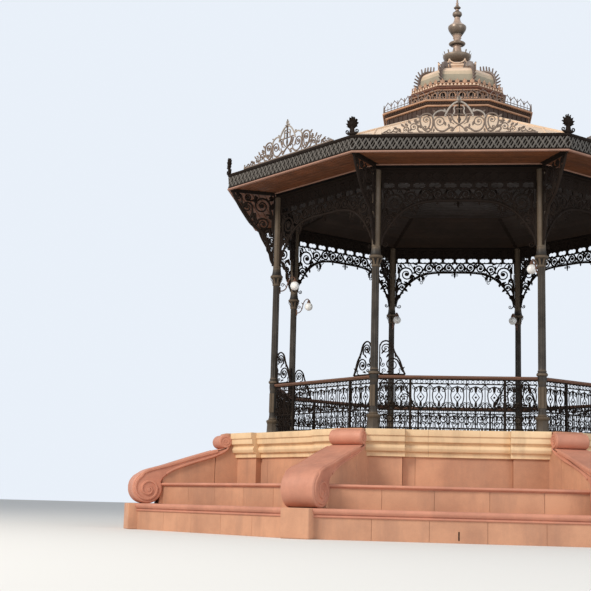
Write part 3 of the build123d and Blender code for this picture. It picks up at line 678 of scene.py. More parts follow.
def tread(part, inner, outer, gap, z0, z1, joints, seed):
    """Flagstones of a ledge, cut to the corner lines."""
    shades = random.Random(seed)
    near, far = side_end(inner, gap), side_end(outer, gap)
    cuts = [None] + list(joints) + [None]
    for index in range(len(cuts) - 1):
        left_in, left_out = (-near, -far) if index == 0 else (cuts[index] + JOINT,) * 2
        right_in, right_out = (near, far) if index == len(cuts) - 2 else (cuts[index + 1] - JOINT,) * 2
        plan = [(left_out, -outer), (right_out, -outer), (right_in, -inner), (left_in, -inner)]
        centre = Vector((sum(x for x, _ in plan) / 4, sum(y for _, y in plan) / 4))
        rows = [[(x, y, z) for x, y in plan] for z in (z0, z1 - ARRIS)]
        rows.append([(x + (ARRIS if x < centre.x else -ARRIS), y + (ARRIS if y < centre.y else -ARRIS), z1)
                     for x, y in plan])
        capped(part, rows, shades.random())


def core(part, inner, outer, gap, top):
    """Solid filling behind the facing stones."""
    near, far = side_end(inner, gap), side_end(outer, gap)
    plan = [(-far, -outer), (far, -outer), (near, -inner), (-near, -inner)]
    capped(part, [[(x, y, z) for x, y in plan] for z in (0.0, top)], 0.4)


def lower_step():
    """Riser, flagstones and double roll of the lower ledge, with a drain slit."""
    side = Castings()
    riser = LOWER_EDGE - NOSING
    joints = (-1.5, -0.5, 0.5, 1.5)
    stones(side, riser, PIER_HALF, 0.0, 0.43, joints, 3)
    tread(side, UPPER_EDGE - 0.1, riser - TREAD_END, PIER_HALF, 0.45, LOWER_TOP, joints, 4)
    core(side, UPPER_EDGE - NOSING, riser - 0.2, PIER_HALF + 0.01, 0.44)
    roll = rounded([(-0.06, 0.536), (0.04, 0.536, 1), (0.06, 0.505, 1), (0.06, 0.475, 1), (0.035, 0.436, 1),
                    (0.012, 0.43), (0.012, 0.417), (0.03, 0.412, 1), (0.03, 0.385, 1), (0.008, 0.375),
                    (-0.06, 0.375)], 0.03)
    straight_moulding(side, side_end(LOWER_EDGE, PIER_HALF) + 0.01, riser, roll, 1)
    whole = around(side)
    box(whole, (DRAIN_SIDE - 0.012, -riser - 0.0015, 0.045), (DRAIN_SIDE + 0.012, -riser + 0.02, 0.197),
        kind=2)
    return whole.cast("lower_ledge_stone", [ROSE, ROLL, SHADED_IRON], "rose_stone", "lower_ledge")


def upper_step():
    """Riser, flagstones and bullnose of the upper ledge."""
    side = Castings()
    riser = UPPER_EDGE - NOSING
    stones(side, riser, PIER_HALF, 0.45, 0.91, (-1.35, -0.42, 0.55, 1.5), 7)
    tread(side, WALL - 0.1, riser - TREAD_END, PIER_HALF, 0.905, UPPER_TOP, (-1.0, 0.0, 1.0), 8)
    core(side, WALL, riser - 0.2, BAND_HALF + 0.01, 0.9)
    nose = rounded([(-0.06, 0.969), (0.045, 0.969, 1), (0.06, 0.945, 1), (0.06, 0.93, 1), (0.04, 0.908, 1),
                    (0.01, 0.905), (0.01, 0.893), (-0.06, 0.893)], 0.022)
    straight_moulding(side, side_end(UPPER_EDGE, PIER_HALF) + 0.01, riser, nose, 1)
    return around(side).cast("upper_ledge_stone", [ROSE, ROLL], "rose_stone", "upper_ledge")


def dado():
    """Plain wall behind the upper ledge, standing back between two end blocks."""
    side = Castings()
    end = side_end(WALL, PIER_HALF) + 0.02
    for apothem, low, high, joints, seed in ((WALL, -end, -PANEL_HALF, (), 11),
                                             (WALL, PANEL_HALF, end, (), 12),
                                             (WALL - SET_BACK, -PANEL_HALF, PANEL_HALF, (-0.8,), 13)):
        stones(side, apothem, PIER_HALF, 0.9, CORNICE_FOOT, joints, seed, low, high)
    box(side, (-1.5, -WALL + 0.3, 0.0), (1.5, -WALL + 0.6, CORNICE_FOOT), 0.0, 0.4)
    return around(side).cast("dado_stone", [ROSE], "rose_stone", "dado_walls")


def cornice():
    """Moulded stone cornice that breaks back with the wall."""
    side = Castings()
    face = [(0.18, FLOOR, 1), (0.18, 1.932, 1), (0.162, 1.928), (0.155, 1.912), (0.155, 1.9, 1),
            (0.155, 1.817, 1), (0.105, 1.802), (0.092, 1.765), (0.112, 1.75, 1), (0.128, 1.70, 1),
            (0.1, 1.635, 1), (0.055, 1.625), (0.05, 1.605), (0.045, 1.577, 1), (0.045, CORNICE_FOOT, 1)]
    shades = random.Random(5)
    end = side_end(WALL, PIER_HALF) + 0.04
    joints = [-end, -0.99, -0.55, 0.42, 0.99, end]
    for left, right in zip(joints, joints[1:]):
        back = SET_BACK if left > -1 and right < 1 else 0.0
        inner = SLAB - WALL + back + 0.001
        profile = rounded([(inner, FLOOR)] + face + [(inner, CORNICE_FOOT)], 0.014)
        path = [(left + 0.0015, -WALL + back), (right - 0.0015, -WALL + back)]
        moulding(side, path, profile, tone=shades.random())
    whole = around(side)
    return whole.cast("platform_cornice_stone", [CREAM], "cream_stone", "platform_cornice", sharp=30)


UPPER_EYE, LOWER_EYE = (5.42, 1.88), (7.055, 0.851)


def wound_edge(centre, radius, start, turn, closing, drift, count):
    """Spiral that closes by an even amount a step, while its centre drifts."""
    line = []
    for index in range(count):
        angle = radians(start + index * turn)
        reach = radius - closing * index
        line.append((centre[0] - drift[0] * index + reach * cos(angle),
                     centre[1] - drift[1] * index + reach * sin(angle)))
    return line


def buttress():
    """Console that rolls over from the floor to the block below, on a plain pier."""
    part = Castings()
    top = smooth_line([(5.45, 1.733), (5.584, 1.704), (6.1, 1.545), (6.667, 1.357), (7.0, 1.262),
                       (7.14, 1.196), (7.27, 1.11), (7.346, 1.0), (7.37, 0.9)], 4)
    front = circle(LOWER_EYE, 0.315, 0, -205, 26)
    under = smooth_line([(6.735, 1.06), (6.55, 1.2), (6.2, 1.345), (5.8, 1.475), (5.564, 1.565), (5.4, 1.66),
                         (5.33, 1.765)], 4)
    extruded(part, top + front[1:] + under, BAND_HALF, 0.022, kind=1)
    extruded(part, circle(UPPER_EYE, 0.147, 0, 337.5, 15), BAND_HALF, 0.02, kind=1)
    edge = [(r, z - 0.035) for r, z in top[4:21]]
    edge += wound_edge(LOWER_EYE, 0.275, 62, -15.5, 0.0053, (0.0007, 0.0008), 44)
    for side in (-BAND_HALF + ARRIS, BAND_HALF - ARRIS):
        strip(part, edge, 0.085, 0.055, 0.04, SIX, 1, side)
        strip(part, [(r, z + 0.035) for r, z in under[2:-2]], 0.05, 0.04, 0.04, SIX, 1, side)
        strip(part, wound_edge(UPPER_EYE, 0.125, -100, 20, 0.0032, (0, 0), 32), 0.03, 0.03, 0.02, SIX, 1,
              side)
        bead(part, LOWER_EYE[0] - 0.03, LOWER_EYE[1] - 0.035, 0.05, 0.02, 1, side)
        bead(part, *UPPER_EYE, 0.03, 0.02, 1, side)
    seat, bed = SLAB / COS + 0.002, FLOOR - 0.003
    inner_head = [(5.4, 1.7), (5.4, FLOOR), (seat, FLOOR), (seat, bed), (4.62, bed)]
    for low, high, head, tone in ((4.62, 5.62, inner_head, 0.4), (5.624, 6.8, [(5.624, 1.6)], 0.6)):
        line = [(r, z + 0.02) for r, z in under if low < r < high]
        extruded(part, [(low, LOWER_TOP), (high, LOWER_TOP)] + line + head, PIER_HALF, tone=tone)
    whole = around(part, turned_to_corner)
    return whole.cast("scroll_buttress_stone", [ROSE, ROLL], "rose_stone", "scroll_buttresses")


def buttress_block():
    """Block under the lower roll."""
    part = Castings()
    box(part, (6.62, -PIER_HALF, 0.0), (7.43, PIER_HALF, LOWER_TOP), 0.014, 0.55)
    box(part, (5.9, -PIER_HALF + JOINT, 0.0), (6.616, PIER_HALF - JOINT, LOWER_TOP), 0.01, 0.35)
    whole = around(part, turned_to_corner)
    return whole.cast("buttress_block_stone", [ROSE], "rose_stone", "buttress_pedestals")


# Stage
def camera():
    """Camera at the photograph's place and angle."""
    data = bpy.data.cameras.new("view")
    data.sensor_width = 36
    data.lens = 76.4
    data.clip_end = 400
    piece = bpy.data.objects.new("view", data)
    bpy.context.collection.objects.link(piece)
    place = (-0.2634, -28.9322, 0.5999)
    pitch, yaw, roll = 0.1647, -0.1199, 0.0258
    level = Vector((cos(yaw), -sin(yaw), 0))
    ahead = Vector((sin(yaw), cos(yaw), 0))
    up = Vector((0, 0, 1))
    aim = ahead * cos(pitch) + up * sin(pitch)
    tall = up * cos(pitch) - ahead * sin(pitch)
    right = level * cos(roll) + tall * sin(roll)
    above = tall * cos(roll) - level * sin(roll)
    turn = Matrix((right, above, -aim)).transposed().to_4x4()
    piece.matrix_world = Matrix.Translation(place) @ turn
    bpy.context.scene.camera = piece


def pale_floor():
    material, _, shader = new_material("studio_floor")
    shader.inputs["Base Color"].default_value = (0.80, 0.78, 0.745, 1)
    shader.inputs["Roughness"].default_value = 0.9
    mesh = bpy.data.meshes.new("studio_floor")
    mesh.from_pydata([(-150, -60, 0), (150, -60, 0), (150, 240, 0), (-150, 240, 0)], [], [(0, 1, 2, 3)])
    mesh.materials.append(material)
    floor = bpy.data.objects.new("studio_floor", mesh)
    bpy.context.collection.objects.link(floor)


def light(name, at, target, size, power, color):
    data = bpy.data.lights.new(name, "AREA")
    data.size, data.energy, data.color = size, power, color
    lamp = bpy.data.objects.new(name, data)
    lamp.location = at
    lamp.rotation_euler = (Vector(target) - Vector(at)).to_track_quat("-Z", "Y").to_euler()
    bpy.context.collection.objects.link(lamp)


def studio():
    """Soft light from the left and above, with an even pale surround."""
    light("key", (-24, -26, 24), (0, 0, 5), 12, 11000, (1.0, 0.95, 0.87))
    light("fill", (26, -30, 10), (0, 0, 4), 20, 4200, (0.92, 0.96, 1.0))
    world = bpy.data.worlds.new("studio")
    bpy.context.scene.world = world
    world.use_nodes = True
    tree = world.node_tree
    back = tree.nodes["Background"]
    back.inputs["Color"].default_value = (0.86, 0.92, 1.0, 1)
    path = tree.nodes.new("ShaderNodeLightPath")
    seen = math_node(tree, "MAXIMUM", path.outputs["Is Camera Ray"], path.outputs["Is Glossy Ray"])
    level = put(tree, "ShaderNodeMapRange", [("Value", seen)], values={"To Min": 0.5, "To Max": 0.95})
    tree.links.new(level.outputs["Result"], back.inputs["Strength"])
    bpy.context.scene.view_settings.view_transform = "Standard"


def paint(node, material):
    """Give a CAD node that stays its finish."""
    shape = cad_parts[node]
    for index in range(max(len(shape.material_slots), 1)):
        if index < len(shape.material_slots):
            shape.material_slots[index].material = material
        else:
            shape.data.materials.append(material)


# Columns and railings
def column_shape():
    """Stepped base, pedestal, collar, fluted shaft, leafy capital and post."""
    part = Castings()
    eight_sided(part, [(0.138, FLOOR), (0.138, 2.10), (0.128, 2.115), (0.118, 2.15), (0.112, 2.30),
                       (0.118, 2.335), (0.13, 2.35), (0.13, 2.385), (0.115, BASE_TOP)])
    lathe(part, [(0.09, BASE_TOP), (0.097, 2.42), (0.085, 2.45), (0.08, 2.5), (0.08, 3.02), (0.086, 3.06),
                 (0.09, 3.1), (0.09, 3.19), (0.112, 3.205), (0.114, 3.235), (0.1, 3.255), (0.084, 3.27),
                 (0.09, 3.29), (0.088, 3.305)])
    shaft = [(0.079, 3.29, 0), (0.079, 3.32, 0), (0.079, 3.35, 1), (0.075, 5.36, 1), (0.075, 5.39, 0)]
    lathe(part, shaft, flutes=12, depth=0.011)
    faces = [Matrix.Rotation(turn * pi / 4 + HALF, 4, "Z") for turn in range(8)]
    for turn in faces:
        box(part, (-0.028, -0.004, 2.56), (0.028, 0.004, 2.98), 0.003,
            matrix=turn @ Matrix.Translation((0, -0.08, 0)))
    lathe(part, [(0.078, 5.375), (0.09, 5.39), (0.09, 5.41), (0.078, 5.425), (0.079, 5.47), (0.1, 5.52),
                 (0.128, 5.55), (0.1385, 5.567), (0.1385, 5.595), (0.125, 5.607), (0.112, 5.62), (0.1, 5.66),
                 (0.09, 5.73), (0.088, 5.769)])
    fronds = Castings()
    leaf(fronds, (0.078, 5.40), 84, 0.15, 0.016, -40, 0.022)
    leaf(fronds, (0.1, 5.60), 100, 0.13, 0.014, 18, 0.026)
    part.join(around(fronds))
    eight_sided(part, [(0.0775, 5.74), (0.0775, BEAM)])
    for turn in faces:
        box(part, (-0.012, -0.004, 5.78), (0.012, 0.003, 7.36), 0.002,
            matrix=turn @ Matrix.Translation((0, -0.0775, 0)))
    for height in (5.80, 6.30, 6.70, 7.02, 7.33):
        eight_sided(part, [(0.08, height - 0.022), (0.0825, height - 0.014), (0.0825, height + 0.014),
                           (0.08, height + 0.022)])
    return part


def columns():
    out_to_ring = Matrix.Translation((COLUMN_RADIUS, 0, 0))
    # The columns take the lighter copy of the iron paint, as painted light.
    cast_each(column_shape(), "column", SUNLIT_SHAFT_IRON, lambda corner: turned_to_corner(corner) @ out_to_ring, 40)


def rail_module(part, x, pitch):
    """One panel of the railing: low row of rings, lozenge with scrolls, heart and border."""
    for ring_x in (x - 0.25 * pitch, x + 0.25 * pitch):
        centre = (ring_x, 2.32)
        strip(part, circle(centre, 0.062, 0, 360, 10), 0.02, 0.022)
        for turn in range(4):
            angle = turn * 90 + 45
            start = (ring_x + 0.06 * cos(radians(angle)), centre[1] + 0.06 * sin(radians(angle)))
            curl = flourish(start, angle, [(0.07, 0)], (0.026, 0.8, 1 if turn % 2 else -1), 30)
            strip(part, curl, 0.018, 0.02, 0.011)
        bead(part, *centre, 0.02, 0.014)
        for foot, head in ((RAIL_FOOT, 2.26), (2.38, RAIL_MIDDLE)):
            strip(part, [(ring_x, foot), (ring_x, head)], 0.012, 0.016)
    strip(part, [(x, RAIL_FOOT), (x, RAIL_MIDDLE)], 0.014, 0.018)
    oval = []
    for turn in range(0, 361, 18):
        up = 2.775 + 0.215 * cos(radians(turn)) - 0.02 * cos(radians(2 * turn))
        oval.append((x + 0.128 * sin(radians(turn)), up))
    strip(part, oval, 0.022, 0.026)
    strip(part, [(x, 2.66), (x + 0.07, HEART), (x, 2.86), (x - 0.07, HEART), (x, 2.66)], 0.02, 0.024)
    strip(part, [(x, RAIL_MIDDLE), (x, 2.66)], 0.018, 0.022)
    bead(part, x, HEART, 0.03, 0.016)
    for hand in (-1, 1):
        for up, size, way in ((2.60, 0.05, -1), (2.90, 0.048, 1)):
            leads = [(x + hand * 0.01, HEART + way * 0.1), (x + hand * 0.03, up + way * 0.05)]
            scroll(part, leads, (x + hand * 0.085, up), size, way * 90, 1.4, -hand * way, 0.022, 0.022)
        edge = x + hand * (pitch / 2 - 0.006)
        for up, way in ((2.63, 1), (2.93, -1)):
            scroll(part, [(edge, up - way * 0.08)], (edge - hand * 0.034, up), 0.034, 90 - way * 90 * hand,
                   1.2, way * hand, 0.018, 0.02, 0.01)
        leaf(part, (x + hand * 0.01, 2.51), 90 - hand * 40, 0.1, 0.036, 0, 0.01)
        leaf(part, (x + hand * 0.15, 2.5), 90 + hand * 10, 0.13, 0.036, hand * 30, 0.01)
    leaf(part, (x, 2.87), 90, 0.13, 0.045)


def railing_shape():
    """Openwork between two columns, in three bays of modules under a border of small openings."""
    part = Castings()
    for z, deep in ((RAIL_FOOT, 0.03), (RAIL_MIDDLE, 0.034), (3.107, 0.036), (3.02, 0.026)):
        flat_bar(part, -RAIL_HALF, RAIL_HALF, z - 0.012, z + 0.012, deep)
    for x in (-0.927, 0.927):
        flat_bar(part, x - 0.025, x + 0.025, FLOOR, 3.12, 0.042)
        for z in (RAIL_MIDDLE, HEART, 3.0):
            flat_bar(part, x - 0.026, x + 0.026, z - 0.02, z + 0.02, 0.044)
    for count, left, right in ((2, -RAIL_HALF, -0.952), (5, -0.902, 0.902), (2, 0.952, RAIL_HALF)):
        pitch = (right - left) / count
        for index in range(count):
            rail_module(part, left + (index + 0.5) * pitch, pitch)
            if index:
                strip(part, [(left + index * pitch, RAIL_FOOT), (left + index * pitch, 3.11)], 0.016, 0.022)
    for x in spaced(RAIL_HALF, 31):
        strip(part, circle((x, 3.064), 0.03, 0, 360, 6), 0.011, 0.018)
    return part


def railings():
    cast_each(stood(railing_shape(), COLUMN_APOTHEM), "railing", SHADED_IRON)


def rail_top():
    """Moulded handrail between the columns."""
    side = Castings()
    profile = rounded([(-0.03, 3.12), (0.03, 3.12), (0.034, 3.134), (0.05, 3.14, 1), (0.052, 3.165, 1),
                       (0.036, 3.18, 1), (-0.036, 3.18, 1), (-0.052, 3.165, 1), (-0.05, 3.14, 1),
                       (-0.034, 3.134)], 0.012)
    straight_moulding(side, RAIL_HALF, COLUMN_APOTHEM, profile)
    return around(side).cast("handrail_casting", [RAIL_PAINT], "brown_rail", "handrails")


def rail_scroll_shape():
    """Pierced scroll on the handrail beside a column: two volutes inside a smooth outer edge."""
    part = Castings()

    def at(out, up):
        return (RAIL_HALF - out * 0.537, RAIL + up * 0.716)

    edge = smooth_line([at(0.98, 0.02), at(0.9, 0.15), at(0.77, 0.42), at(0.6, 0.62), at(0.48, 0.86),
                        at(0.3, 0.96), at(0.12, 0.93), at(0.035, 0.82)], 4)
    strip(part, edge, 0.038, 0.04, 0.03, SIX)
    strip(part, [at(0.02, 0.025), at(0.98, 0.025)], 0.03, 0.036)
    strip(part, [at(0.03, 0.03), at(0.03, 0.86)], 0.024, 0.03)
    scroll(part, [at(0.45, 0.6), at(0.46, 0.78)], at(0.26, 0.74), 0.1, 150, 1.7, -1, 0.03, 0.032, 0.014, SIX,
           0.024)
    scroll(part, [at(0.9, 0.1), at(0.72, 0.38)], at(0.5, 0.3), 0.13, 130, 1.8, -1, 0.034, 0.034, 0.014, SIX,
           0.03)
    scroll(part, [at(0.05, 0.5), at(0.1, 0.42)], at(0.15, 0.3), 0.05, 30, 1.3, -1, 0.022, 0.028, 0.012,
           boss=0.014)
    scroll(part, [at(0.05, 0.05), at(0.12, 0.06)], at(0.2, 0.13), 0.045, -60, 1.2, 1, 0.02, 0.026, 0.012)
    scroll(part, [at(0.7, 0.05), at(0.78, 0.07)], at(0.8, 0.16), 0.03, -60, 1.1, 1, 0.018, 0.024, 0.01)
    for out, up, heading, length in ((0.28, 0.5, 60, 0.12), (0.1, 0.6, 60, 0.12), (0.62, 0.5, 100, 0.1),
                                     (0.84, 0.14, 60, 0.1), (0.3, 0.08, 30, 0.1)):
        leaf(part, at(out, up), 180 - heading, length, 0.045, 30, 0.016)
    return part


def rail_scrolls():
    """A scroll on each side of every column but one, which has lost both."""
    whole = Castings()
    part = stood(rail_scroll_shape(), COLUMN_APOTHEM)
    for corner in (0, 2, 3, 4, 5, 6, 7):
        whole.join(mirrored(part), turned_to(corner))
        whole.join(part, turned_to(corner - 1))
    return whole.cast("rail_scroll_castings", [SHADED_IRON], "dark_iron", "rail_scrolls")


# Arches, friezes and brackets
def arch_height(x):
    return CROWN - ARCH_DROP * (abs(x) / POST_HALF) ** 4


def arch_line(last, lift, count):
    """Points over the arch from its crown to one side, all at the same distance from it."""
    line = []
    for index in range(count + 1):
        x = last * index / count
        slope = -4 * ARCH_DROP * x ** 3 / POST_HALF ** 4
        size = hypot(1, slope)
        line.append((x - slope / size * lift, arch_height(x) + lift / size))
    return line


def spandrel_half(part):
    """Half arch: smooth rib, foot curl, scrolls that climb the corner, and hanging leaves."""
    strip(part, arch_line(1.49, 0.028, 26) + [(1.53, 5.93), (1.548, 5.85)], 0.056, 0.044, 0.05, SIX)
    strip(part, [(x, z + 0.04) for x, z in arch_line(1.45, 0.026, 20)], 0.014, 0.034)
    flat_bar(part, POST_HALF - 0.03, POST_HALF - 0.004, 5.812, CROWN - 0.02, 0.036)
    scroll(part, [(1.55, 5.9), (1.53, 5.85), (1.49, 5.8)], (1.45, 5.835), 0.045, -60, 1.2, -1, 0.03, 0.034,
           0.014)
    scrollwork(part, (((1.272, 6.70), 0.205, -20, 1, [(1.545, 6.24), (1.53, 6.42)], 0.056),
                      ((1.385, 6.34), 0.125, -30, 1, [(1.54, 6.0), (1.535, 6.16)], 0.052),
                      ((1.478, 6.085), 0.06, -40, 1, [(1.545, 5.9), (1.546, 6.0)], 0.042),
                      ((1.475, 6.53), 0.062, 200, -1, [(1.40, 6.43)], 0.04),
                      ((1.13, 6.615), 0.08, -60, -1, [(1.24, 6.42), (1.2, 6.5)], 0.042),
                      ((1.285, 6.44), 0.05, 70, 1, [(1.34, 6.5)], 0.034)))
    for x, z, heading, length in (
            (1.52, 6.25, 120, 0.15), (1.50, 6.72, 100, 0.16), (1.5, 6.9, 240, 0.13), (1.06, 6.62, 20, 0.13),
            (1.33, 6.3, 200, 0.12), (1.43, 6.2, 170, 0.1), (1.12, 6.5, 60, 0.12), (1.4, 6.86, 60, 0.13),
            (1.09, 6.72, 130, 0.12)):
        leaf(part, (x, z), heading, length, 0.078, 30, 0.018)
    for x, drop in ((0.42, 0.07), (0.83, 0.17), (0.93, 0.12), (1.17, 0.09)):
        for hand in (-1, 1):
            leaf(part, (x, arch_height(x) + 0.01), 270 + hand * 24, drop, 0.045, -hand * 40, 0.014)
    scroll(part, [(0.99, 6.58), (0.93, 6.535)], (0.885, 6.47), 0.05, 60, 1.2, 1, 0.024, 0.03)
    scroll(part, [(0.72, 6.67), (0.76, 6.635)], (0.8, 6.59), 0.032, 110, 1.1, -1, 0.02)
    bead(part, 0.86, arch_height(0.86) - 0.02, 0.03, 0.02)
    leaf(part, (0.0, CROWN), 270, 0.13, 0.06, 0, 0.02)
    scroll(part, [(0.01, 6.715), (0.03, 6.69)], (0.06, 6.67), 0.03, 130, 1.1, -1, 0.018, 0.026, 0.01)


def arches():
    whole = around(stood(both_ways(spandrel_half), COLUMN_APOTHEM))
    return whole.cast("arch_spandrel_castings", [SHADED_IRON], "dark_iron", "arch_spandrels", sharp=42)


def frieze_half(part):
    """Scroll band, row of slots and lattice on one half of a side."""
    before = (0.0, CROWN + 0.06)
    for x, radius, hand in ((0.15, 0.112, -1), (0.405, 0.118, 1), (0.665, 0.122, -1), (0.94, 0.135, 1)):
        middle = (arch_height(x) + 0.05 + SLOT - 0.02) / 2
        entry = (x, middle - hand * radius)
        leads = [before, ((before[0] + x) / 2 - 0.02, (before[1] + entry[1]) / 2)]
        scroll(part, leads, (x, middle), radius, -90 * hand, 1.75, hand, 0.05, 0.034, 0.028, SIX, 0.044)
        before = (x + radius * 0.6, middle - hand * radius * 0.8)
        leaf(part, (x + radius * 0.9, middle - hand * 0.02), hand * 70, 0.13, 0.07, hand * 40, 0.018)
        leaf(part, (x - radius * 0.8, middle - hand * 0.07), -hand * 100, 0.09, 0.06, -hand * 30, 0.016)
        leaf(part, (x + radius * 0.3, middle + hand * radius), hand * 30, 0.12, 0.06, -hand * 40, 0.016)
    scroll(part, [before, (1.12, 6.9)], (1.2, 6.945), 0.05, 200, 1.3, -1, 0.03, 0.03, 0.014)
    scroll(part, [(1.3, 6.9), (1.36, 6.97)], (1.46, 6.93), 0.062, 120, 1.4, -1, 0.03, 0.03, 0.014, boss=0.018)
    slots(part)
    lattice(part)


def slots(part):
    """Five openings between upright bars, with beads along their edges."""
    pitch = POST_HALF / 5
    half_bar = 0.036
    flat_bar(part, 0.0, half_bar, SLOT, LATTICE, 0.034)
    flat_bar(part, POST_HALF - 0.06, POST_HALF, SLOT, LATTICE, 0.034)
    for index in range(5):
        x = (index + 1) * POST_HALF / 5
        if index < 4:
            flat_bar(part, x - half_bar, x + half_bar, SLOT, LATTICE, 0.034)
        for across in (-0.105, 0.0, 0.105):
            for z in (SLOT, LATTICE):
                bead(part, x - pitch / 2 + across, z, 0.028 if across else 0.022, 0.014)


def lattice(part):
    """Crossed bars on a thin back plate, with a ring on each crossing and curls between them."""
    low, high = LATTICE + 0.02, BEAM - 0.04
    flat_bar(part, 0.0, POST_HALF, low - 0.01, high + 0.01, 0.008)
    pitch = POST_HALF / 5.5
    for index in range(6):
        left, right = max((index - 0.5) * pitch, 0), (index + 0.5) * pitch
        strip(part, [(left, low), (right, high)], 0.06, 0.026)
        strip(part, [(left, high), (right, low)], 0.06, 0.022)
        x, z = (left + right) / 2, (low + high) / 2
        if left > 0:
            strip(part, circle((x, z), 0.06, 0, 360, 10), 0.034, 0.03)
            bead(part, x, z, 0.022, 0.016)
        for foot, way in ((low + 0.005, 1), (high - 0.005, -1)):
            for hand in (-1, 1):
                curl = flourish((x + hand * 0.01, foot), (90 if way > 0 else 270) - hand * way * 30,
                                [(0.05, -hand * way * 40)], (0.022, 0.9, hand * way), 30)
                strip(part, curl, 0.012, 0.022, 0.008)


def frieze_shape():
    whole = both_ways(frieze_half)
    for z0, z1, deep in ((SLOT - 0.028, SLOT, 0.04), (LATTICE, LATTICE + 0.03, 0.04),
                         (BEAM - 0.05, BEAM, 0.042)):
        flat_bar(whole, -POST_HALF, POST_HALF, z0, z1, deep)
    for x in (-POST_HALF + 0.012, POST_HALF - 0.012):
        flat_bar(whole, x - 0.012, x + 0.012, CROWN, BEAM, 0.034)
    return whole


def friezes():
    cast_each(stood(frieze_shape(), COLUMN_APOTHEM), "frieze", SHADED_IRON)


BRACKET = [(4.405, 5.82), (4.44, 5.86), (4.474, 5.93), (4.52, 6.12), (4.56, 6.28), (4.62, 6.42), (4.69, 6.53),
           (4.82, 6.62), (4.961, 6.72), (5.081, 6.87), (5.201, 7.04), (5.33, 7.25), (5.42, 7.45)]


def bracket_shape():
    """Radial bracket: broad smooth rim, scrolls that fill it from the foot up, and leaves."""
    part = Castings()
    line = smooth_line([(r - 0.024, z + 0.034) for r, z in BRACKET], 3)
    strip(part, line, 0.075, 0.043, 0.07, SIX)
    strip(part, [(r - 0.05, z + 0.035) for r, z in line[6:-4]], 0.016, 0.04)
    flat_bar(part, 4.402, 4.432, 5.82, 7.48, 0.038)
    flat_bar(part, 4.402, 5.43, 7.43, 7.488, 0.042)
    scrollwork(part, (((4.70, 7.17), 0.2, 200, -1, [(4.44, 6.62), (4.45, 6.9)], 0.06),
                      ((4.66, 6.76), 0.14, 20, 1, [(4.86, 7.0), (4.83, 6.86)], 0.056),
                      ((4.545, 6.38), 0.075, 10, 1, [(4.68, 6.6), (4.66, 6.48)], 0.046),
                      ((4.50, 6.13), 0.045, 10, 1, [(4.56, 6.3), (4.56, 6.2)], 0.036),
                      ((5.04, 7.12), 0.125, 200, -1, [(4.86, 6.78), (4.9, 6.95)], 0.052),
                      ((5.02, 7.34), 0.075, -60, 1, [(4.8, 7.36), (4.9, 7.28)], 0.042),
                      ((5.24, 7.34), 0.07, 190, -1, [(5.12, 7.02), (5.16, 7.2)], 0.042),
                      ((4.50, 6.93), 0.05, 60, 1, [(4.6, 6.98)], 0.036),
                      ((4.49, 7.36), 0.05, -120, -1, [(4.56, 7.3)], 0.036)))
    for r, z, heading, length in (
            (4.46, 6.5, 60, 0.15), (4.84, 6.72, 110, 0.14), (4.96, 6.86, 100, 0.13), (5.14, 7.1, 120, 0.14),
            (4.92, 7.3, 200, 0.12), (5.3, 7.42, 200, 0.1), (4.86, 7.4, 250, 0.12), (4.46, 7.1, 80, 0.14),
            (4.47, 6.24, 100, 0.13), (4.44, 5.98, 80, 0.13), (4.6, 6.55, 120, 0.12), (4.95, 6.98, 200, 0.12)):
        leaf(part, (r, z), heading, length * 1.15, 0.085, 30, 0.018)
    return part


def eaves_brackets():
    whole = around(bracket_shape(), turned_to_corner)
    return whole.cast("eaves_bracket_castings", [SHADED_IRON], "dark_iron", "eaves_brackets", sharp=42)


# Eaves, ceilings and roof
def boards(start, end, count, thick, seed):
    """Boards round the eight sides, between two (apothem, height) lines, mitred at the corners."""
    side = Castings()
    shades = random.Random(seed)
    for index in range(count):
        (a0, z0), (a1, z1) = [[start[axis] + (end[axis] - start[axis]) * step / count for axis in (0, 1)]
                              for step in (index, index + 1)]
        way = 1 if a1 > a0 else -1
        gap, cut = 0.003 * way, 0.009 * way
        profile = [(a0 + gap, z0 + 0.009), (a0 + gap + cut, z0), (a1 - gap - cut, z1), (a1 - gap, z1 + 0.009),
                   (a1 - gap, z1 + thick), (a0 + gap, z0 + thick)]
        capped(side, [[(hand * (a * TAN - JOINT), -a, z) for a, z in profile] for hand in (-1, 1)],
               shades.random())
    return around(side)


def hip_straps(start, end, half, thick):
    """Flat straps under the corner lines, from (radius, height) to (radius, height)."""
    strap = Castings()
    capped(strap, [[(r, -half, z), (r, half, z), (r, half, z + thick), (r, -half, z + thick)]
                   for r, z in (start, end)], 0.4, 1)
    return around(strap, turned_to_corner)


def soffit():
    """Stained boards under the eaves, with dark straps on the corner lines."""
    whole = boards((3.905, SOFFIT), (5.024, SOFFIT), 8, 0.026, 21)
    whole.join(hip_straps((4.4, SOFFIT - 0.006), (5.43, SOFFIT - 0.006), 0.075, 0.012))
    octagon_band(whole, [(4.064, 7.47), (4.088, 7.474), (4.088, 7.49), (4.064, 7.49)], 2)
    return whole.cast("eaves_soffit_boards", [BOARDS, SHADED_IRON, MOULDING], "brown_boards", "eaves_soffit")


def ceiling():
    """Sloping boards inside the ring beam, darkened as painted shade, with ribs on the corner lines."""
    whole = boards((3.89, 7.398), (2.71, 7.918), 9, 0.03, 22)
    whole.join(hip_straps((4.2, 7.394), (2.95, 7.9), 0.05, 0.03))
    return whole.cast("ceiling_slope_boards", [SHADED_CEILING, SHADED_IRON], "brown_boards", "ceiling_slope")


